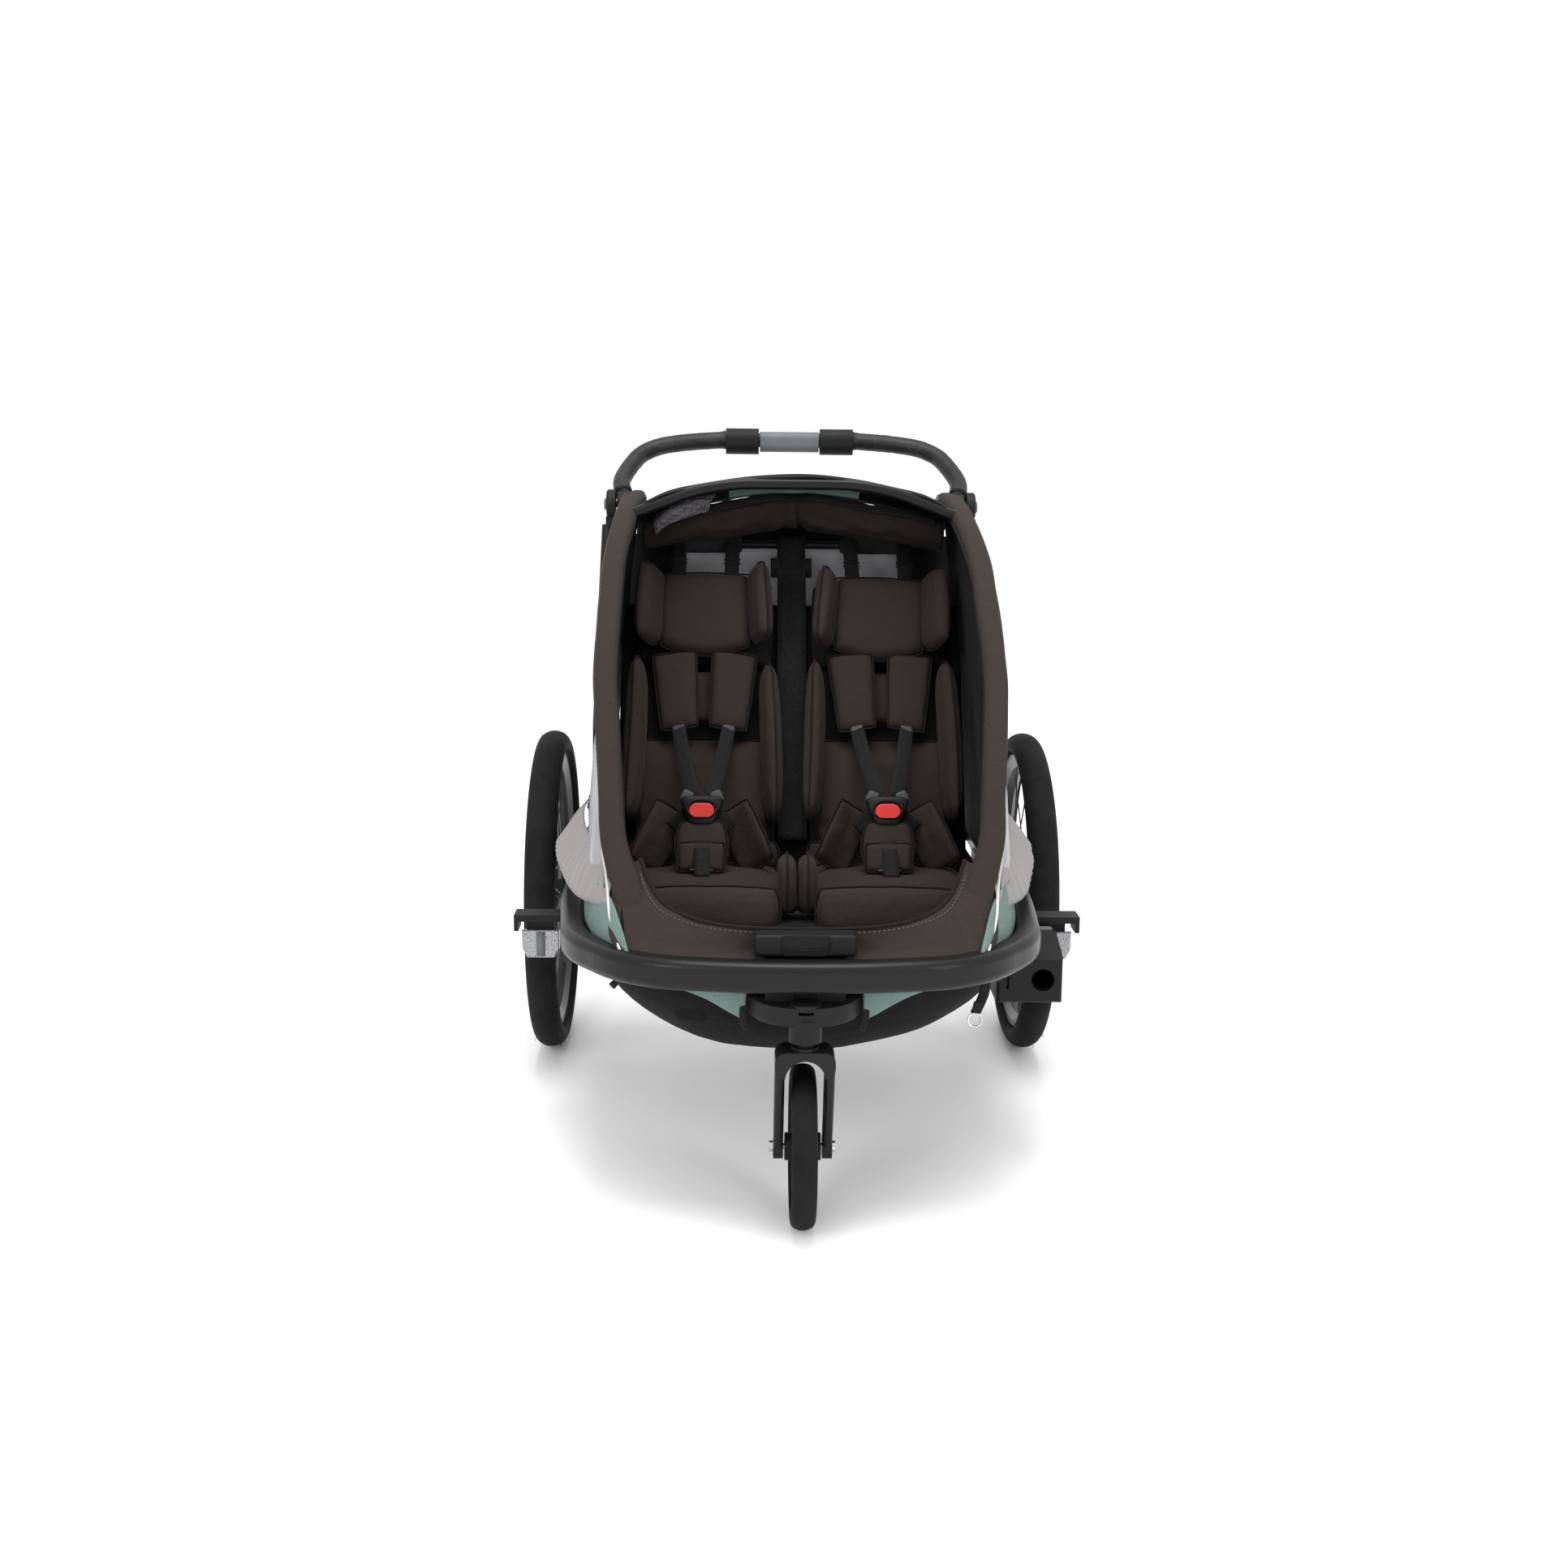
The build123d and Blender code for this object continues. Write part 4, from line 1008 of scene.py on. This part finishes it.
def roof_and_rear():
    """Top cover behind the roof bar, the rear wall, the rear window and the divider."""
    xs = [-243 + 486 * i / 10 for i in range(11)]
    rails = []
    for y, drop in ((-122, 4), (-80, 1), (-20, 2), (30, 10), (66, 34)):
        rails.append([at(x, y, min(roof_height(x), roof_height(0)) - drop + (8 if abs(x) < 240 else 0))
            for x in xs])
    cover = sheet_from("roof_cover", rails, 70, 30, "black_fabric", 2.2, lambda u, v,
        p: Vector((0, 0, 0.003 * noise.noise(p * 11))))
    hang(cover)
    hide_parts("roof_fabric")
    cloth(cover, (0.52, 0.21), "stretched", "roof_bar", "headrest_crossbar")
    strip = [[at(x, y, roof_height(x) - z) for x in xs[3:-3]] for y,
        z in ((-96, 10), (-84, 14), (-78, 20))]
    lining = sheet_from("roof_lining", strip, 60, 8, "green_fabric", 1.5, lambda u, v,
        p: Vector((0, 0.004 * noise.noise(p * 30), 0)))
    hang(lining)
    cloth(lining, (0.20, 0.018), "stretched", "roof_cover")
    low, high = 366, 694
    back_rails = [[at(x, 78 + 5 * math.cos(x / 160), z) for x in xs] for z in (low, 460, 560, 640, high)]
    back = sheet_from("rear_wall", back_rails, 60, 50, "black_fabric", 2.2, lambda u, v,
        p: Vector((0, 0.005 * noise.noise(p * 9), 0)))
    cloth(back, (0.49, 0.330), "stretched", "rear_uprights")
    pane_rails = [[at(x, 80 + 4 * math.cos(x / 160), z) for x in xs[1:-1]] for z in (high - 6, 752, 790)]
    pane = sheet_from("rear_window", pane_rails, 40, 8, "window_film", 0.9)
    cloth(pane, (0.39, 0.103), "stretched", "rear_wall")
    top_rails = [[at(x, y, z) for x in xs] for y, z in ((78, 786), (76, 812), (68, 842))]
    band = sheet_from("rear_top_band", top_rails, 40, 10, "black_fabric", 2.0)
    cloth(band, (0.49, 0.06), "stretched", "roof_cover")
    s, c = math.sin(BACK_LEAN), math.cos(BACK_LEAN)
    spine_points = [at(0, 40, 806), at(0, 38, 760)] + [
        at(0, CREASE_Y + up * s - 12 * c, CREASE_Z + up * c + 12 * s) for up in (440, 300, 160, 30)
    ]
    spine = strap("divider", spine_points, 44, Vector((0, -0.93, 0.37)), "black_net", 2.4, 60)
    panels = [[at(sx, CREASE_Y + up * s + 10 * c, CREASE_Z + up * c - 10 * s)
        for sx in (-262, -130, 0, 130, 262)] for up in (-20, 120, 260, 380, 412)]
    shade_cloth = sheet_from("back_panel", panels, 50, 40, "black_fabric", 2.0)
    cloth(shade_cloth, (0.53, 0.455), "stretched", "headrest_crossbar")
    for piece, slot in ((back, "black_fabric"), (pane, "window_film"), (band, "black_fabric"),
        (spine, "black_fabric"), (shade_cloth, "black_fabric")):
        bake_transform(piece)
    for k, side in SIDES:
        edge = strap(side + "_rear_strip", [at(k * 225, 76, 806), at(k * 225, 76, 684)], 76, FRONT,
            "black_fabric", count=12)
        hang(edge)
    for k in (-1, 1):
        tabs = [at(k * 24, 36, 772), at(k * 24, 30, 742)]
        hang(strap(f"divider_tab_{k + 2}", tabs, 16, FRONT, count=8))


def belly():
    """Sagging tub under the seats and in front of them, with the green gussets at its front."""
    levels = [
        (311, 250, 265, -470, 5.0), (290, 247, 262, -469, 4.6), (262, 232, 250, -464, 4.0),
        (232, 206, 232, -456, 3.4),
        (206, 176, 206, -446, 3.0), (187, 140, 178, -436, 2.8), (177, 96, 138, -430, 2.6),
        (173, 40, 70, -430, 2.4),
    ]
    rings = []
    for z, a, b, y, power in levels:
        ring = []
        for u, v in superellipse(a / 1000, b / 1000, power, 120):
            p = at(0, y, z) + Vector((u, v, 0))
            sag = min(1.0, (311 - z) / 60)
            out = Vector((u, v, 0)).normalized()
            p += out * sag * (0.007 * noise.noise(Vector((p.x * 14, p.y * 14, p.z * 22))) - 0.003)
            p.z += sag * 0.006 * noise.noise(p * 12)
            ring.append(p)
        rings.append(ring)
    count = len(rings[0])
    points = [p for ring in rings for p in ring]
    faces = []
    for i in range(len(rings) - 1):
        for k in range(count):
            a, b = i * count + k, i * count + (k + 1) % count
            faces.append((a, a + count, b + count, b))
    base = (len(rings) - 1) * count
    faces.append(tuple(base + k for k in range(count)))
    tub = piece_from("belly_tub", points, faces, "black_fabric")
    thicken = tub.modifiers.new("thickness", "SOLIDIFY")
    thicken.thickness, thicken.offset = 0.003, 0
    settle(tub, 1)
    hang(tub, "chassis")
    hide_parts("belly_fabric")
    for k in (-1, 1):
        side = "left" if k < 0 else "right"
        outer = [at(k * 152, -748, 308), at(k * 110, -752, 306), at(k * 70, -750, 308)]
        lower = [at(k * 120, -742, 294), at(k * 94, -742, 278), at(k * 72, -738, 264)]
        gusset = sheet_from(side + "_front_gusset", [outer, lower], 24, 14, "green_fabric", 1.6, lambda u,
            v, p: Vector((0, -0.002 * noise.noise(p * 40), 0)))
        hang(gusset, "chassis")
        cloth(gusset, (0.085, 0.03), "stretched", "belly_tub")
        web = strap(side + "_mount_strap",
            [at(k * 72, -744, 300), at(k * 74, -742, 272), at(k * 70, -730, 250)], 9, FRONT, count=16)
        hang(web, "chassis")
    pocket = pad("belly_pocket", (44, 28, 8),
        frame_at(at(-139, -704, 264), Vector((0.96, -0.2, -0.1)), Vector((0.1, -0.3, 0.94))),
        "black_fabric", 0.4, 4, rim=0)
    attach(pocket, "chassis")
    for x, y, z in ((-231, -640, 292), (247, -604, 292)):
        peg = cable(f"peg_{'left' if x < 0 else 'right'}",
            [at(x, y, z + 22), at(x, y - 2, z - 6), at(x * 1.03, y - 8, z - 12)], 0.005, "plastic_black",
            10)
        hang(peg, "chassis")


def ring_strap():
    low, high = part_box("d_ring")
    top = at(221, -722, 311)
    eye = Vector(((low.x + high.x) / 2, (low.y + high.y) / 2, high.z - 0.002))
    web = strap("safety_strap", [top, top.lerp(eye, 0.4) + Vector((0.003, 0, 0)), eye], 12.5,
        Vector((0.1, -1, 0)), count=20)
    hang(web, "chassis")
    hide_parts("d_ring_strap")
    fold = strap("safety_strap_fold",
        [eye + Vector((0.003, -0.003, 0.016)), eye + Vector((0, -0.004, 0.002))], 11,
        Vector((0.25, -1, 0)), count=8)
    hang(fold, "chassis")


# ---- wheels, push bar and fittings ----
def tread(name, node, body, outer, half, groove, sipes, profile_power, crown):
    """A tyre with a centre line, angled sipes and sidewall ribs cut into its surface."""
    low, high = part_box(node)
    centre = (low + high) / 2
    around, across = 720, 44
    depth = groove / 1000
    points, faces = [], []
    for i in range(around):
        angle = 2 * math.pi * i / around
        for j in range(across):
            w = 2 * j / (across - 1) - 1
            t = math.pi * 0.5 * w * 1.22
            x = half * math.sin(t) if abs(t) < math.pi / 2 else half * math.copysign(1,
                t) * math.cos(abs(t) - math.pi / 2)
            r = outer - crown * (1 - abs(math.cos(t)) ** profile_power * math.copysign(1, math.cos(t)))
            cut = math.exp(-((w / 0.035) ** 2))
            wave = (i / around * sipes + abs(w) * 1.15) % 1.0
            if 0.12 < abs(w) < 0.52:
                cut = max(cut, math.exp(-(((wave - 0.5) / 0.06) ** 2)))
            if abs(abs(w) - 0.58) < 0.012 and 0.3 < wave < 0.9:
                cut = 0.8
            cut -= 0.5 * math.exp(-(((abs(w) - 0.8) / 0.03) ** 2))
            r -= depth * cut
            points.append(centre + Vector((x / 1000, r / 1000 * math.cos(angle),
                r / 1000 * math.sin(angle))))
    for i in range(around):
        for j in range(across - 1):
            a, b = i * across + j, ((i + 1) % around) * across + j
            faces.append((a, b, b + 1, a + 1))
        a, b = i * across + across - 1, ((i + 1) % around) * across + across - 1
        faces.append((a, b, b - across + 1, a - across + 1))
    tyre = piece_from(name, points, faces, "tyre")
    hang(tyre, body)
    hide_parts(node)


def moulding_hairs(name, node, body, seed):
    """Thin rubber hairs left by the tyre's mould."""
    random.seed(seed)
    low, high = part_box(node)
    centre, radius = (low + high) / 2, (high.z - low.z) / 2
    hairs = []
    for n in range(46):
        angle = 2 * math.pi * (n + random.random()) / 46
        x = random.choice((-1, 1)) * random.uniform(0.010, 0.017)
        out = Vector((x * 12, math.cos(angle), math.sin(angle))).normalized()
        foot = centre + Vector((x, math.cos(angle) * (radius - 0.006),
            math.sin(angle) * (radius - 0.006)))
        hairs.append(cable(f"{name}_{n}",
            [foot, foot + out * 0.005, foot + out * 0.007 + Vector((x * 0.06, 0, 0))], 0.00035, "tyre",
            4))
    whole = merge(hairs)
    whole.name = name
    hang(whole, body)


def valve(side):
    low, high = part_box(side + "_rim")
    centre = (low + high) / 2
    out = Vector((0, math.cos(math.radians(118)), math.sin(math.radians(118))))
    path = [centre + out * r for r in (0.200, 0.188, 0.176, 0.164, 0.160)]
    widths = [0.0042, 0.0038, 0.0030, 0.0034, 0.0020]

    def section(t):
        size = widths[min(4, round(t * 4))]
        return [(size * math.cos(a * math.pi / 5), size * math.sin(a * math.pi / 5)) for a in range(10)]

    hang(swept(side + "_valve", path, section, "steel", RIGHT), side + "_wheel")


def handle_point(x, reach):
    return at(x, 75 + reach * math.cos(HANDLE_LEAN), 852 + reach * math.sin(HANDLE_LEAN))


def handle_sleeves():
    """Leather sleeves over the push bar's bends, laced along the underside."""
    for k, side in SIDES:
        outline = [(266, 30), (269, 62), (258, 100), (240, 136), (212, 158), (176, 169), (140, 175),
            (104, 179)]
        path = spline([handle_point(k * x, reach) for x, reach in outline], 110)
        facing = Vector((0, -math.sin(HANDLE_LEAN), math.cos(HANDLE_LEAN)))

        def section(t):
            wrinkle = 1 + 0.02 * math.sin(t * 150) * math.sin(t * 31) ** 2
            end = 1 + 0.10 * math.exp(-((t / 0.03) ** 2)) + 0.10 * math.exp(-(((1 - t) / 0.02) ** 2))
            return [(0.0139 * wrinkle * end * math.cos(a * math.pi / 14),
                0.0139 * end * math.sin(a * math.pi / 14)) for a in range(28)]

        sleeve = swept(side + "_handle_sleeve", path, section, "leather", facing)
        crease(sleeve, 0.5, 70.0, seed=k)
        if k < 0:
            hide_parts("handle_sleeves")
        hang(sleeve, "handlebar")
        lace, out = [], []
        for p, along in zip(path, tangents(path)):
            inward = along.cross(facing).normalized() * k
            lace.append(p + (inward * 0.011 - facing * 0.0088))
            out.append(p + (inward * 0.0142 - facing * 0.0005))
        seam = cable(side + "_handle_seam", lace[3:-3], 0.0013, "leather", 6)
        laces = stitches(side + "_handle_lacing", lace[3:-3], 2.6, 3.6, 1.1, "leather")
        hang(seam, "handlebar")
        hang(laces, "handlebar")


def foams():
    for k, side in SIDES:
        low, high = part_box("crossbar_foams")
        y, z = (low.y + high.y) / 2, (low.z + high.z) / 2
        radius = (high.z - low.z) / 2 - 0.001
        path = [Vector((k * x / 1000, y, z)) for x in range(77, 187, 5)]

        def section(t):
            end = 1 - 0.18 * (math.exp(-((t / 0.03) ** 2)) + math.exp(-(((1 - t) / 0.03) ** 2)))
            return superellipse(radius * end, radius * end, 2.6, 24)

        sleeve = swept(side + "_crossbar_foam", path, section, "foam", FRONT)
        crease(sleeve, 0.8, 40.0)
        hang(sleeve)
        if k < 0:
            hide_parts("crossbar_foams")


def reflectors():
    """Cut-cornered reflectors with a plain vertical band in the middle of the prism face."""
    low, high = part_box("side_reflectors")
    for k, side in SIDES:
        inner, outer = 0.3205, high.x
        centre = Vector((k * (inner + outer) / 2, (low.y + high.y) / 2, (low.z + high.z) / 2))
        half, tall = (outer - inner) / 2, (high.z - low.z) / 2
        outline = [(-half, tall), (half, tall), (half * 0.98, -tall * 0.35), (half * 0.72, -tall),
            (-half * 0.72, -tall), (-half * 0.98, -tall * 0.35)]
        rings = []
        for depth, size in ((0.004, 0.97), (0.002, 1.0), (-0.003, 1.0), (-0.0042, 0.93)):
            rings.append([centre + Vector((a * size, depth, b * size)) for a, b in outline])
        glass = loft(side + "_reflector", rings, "reflector")
        for polygon in glass.data.polygons:
            polygon.use_smooth = False
        band = loft(side + "_reflector_band",
            [[centre + Vector((a * 0.006, d, b * tall * 0.9)) for a,
            b in ((-1, 1), (1, 1), (1, -1), (-1, -1))] for d in (-0.0038, -0.0047)], "plastic_grey")
        hang(glass, "chassis")
        hang(band, "chassis")
        if k < 0:
            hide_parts("side_reflectors")


def clip_face():
    """Shallow oval ring on the front clip's face."""
    low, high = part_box("front_clip")
    centre = (low + high) / 2
    oval = [Vector((centre.x + a, low.y - 0.0002, centre.z + 0.003 + b)) for a,
        b in superellipse(0.031, 0.0085, 2.3, 40)]
    hang(cable("clip_oval", oval + oval[:1], 0.0008, "plastic_black", 6), "chassis")


def wheels():
    for side, seed in (("left", 3), ("right", 5)):
        tread(side + "_tyre_tread", side + "_tyre", side + "_wheel", 250, 23, 1.7, 44, 1.0, 20)
        moulding_hairs(side + "_tyre_hairs", side + "_tyre", side + "_wheel", seed)
    valve("left")
    valve("right")
    tread("front_tyre_tread", "front_tyre", "caster_wheel", 101, 15.5, 1.2, 26, 0.75, 13)


def finish_nodes():
    """The CAD pieces that stay in view take the scene's materials by their slot in the record."""
    slots = {row["node"]: row["material_slot"] for row in frame["record"]["subparts"]}
    for name, node in frame["nodes"].items():
        node.data.materials.clear()
        node.data.materials.append(MAT[slots[name]])


# ---- floor, light and camera ----
def plain(name, colour, rough):
    f = Finish(name, {"Roughness": rough, "Specular IOR Level": 0.1})
    f.colour(f.noise(0.7, 2.0), [(0.3, colour), (0.8, colour)])
    return f.material


def area_light(name, place, target, size, watts):
    data = bpy.data.lights.new(name, "AREA")
    data.shape, data.size, data.size_y, data.energy = "RECTANGLE", size[0], size[1], watts
    light = bpy.data.objects.new(name, data)
    light.location = place
    light.rotation_euler = (Vector(target) - Vector(place)).to_track_quat("-Z", "Y").to_euler()
    SCENE.collection.objects.link(light)


def studio():
    MAT["floor"] = plain("floor_white", (0.95, 0.95, 0.95), 0.9)
    floor = piece_from("floor", [(-12, -8, 0), (12, -8, 0), (12, 14, 0), (-12, 14, 0)], [(0, 1, 2, 3)],
        "floor")
    world = bpy.data.worlds.new("studio")
    world.use_nodes = True
    world.node_tree.nodes["Background"].inputs[0].default_value = (1, 1, 1, 1)
    world.node_tree.nodes["Background"].inputs[1].default_value = 1.12
    SCENE.world = world
    SCENE.view_settings.view_transform = "Standard"
    area_light("top", (0, -0.6, 3.4), (0, 0, 0.3), (1.6, 2.2), 85)
    area_light("front_left", (-2.4, -3.6, 2.2), (0, 0, 0.4), (1.6, 1.6), 55)
    area_light("front_right", (2.6, -3.2, 1.8), (0, 0, 0.4), (1.4, 1.8), 40)


def camera():
    yaw, pitch, roll = 0.0253, 0.1815, 0.0101
    data = bpy.data.cameras.new("camera")
    data.sensor_width, data.lens = 36.0, 43.29
    data.clip_start, data.clip_end = 0.05, 60
    eye = bpy.data.objects.new("camera", data)
    look = Vector((math.sin(yaw) * math.cos(pitch), math.cos(yaw) * math.cos(pitch), -math.sin(pitch)))
    right = Vector((math.cos(yaw), -math.sin(yaw), 0))
    up = right.cross(look)
    right, up = right * math.cos(roll) + up * math.sin(roll), up * math.cos(roll) - right * math.sin(roll)
    turn = Matrix((right, up, -look)).transposed().to_4x4()
    eye.matrix_world = Matrix.Translation(at(-82.7, -2928, 957)) @ turn
    SCENE.collection.objects.link(eye)
    SCENE.camera = eye


finish_nodes()
camera()
studio()
seats()
sleeves()
front_flap()
side_walls()
rolled_cover()
crumpled_net()
roof_and_rear()
belly()
ring_strap()
wheels()
handle_sleeves()
foams()
reflectors()
clip_face()
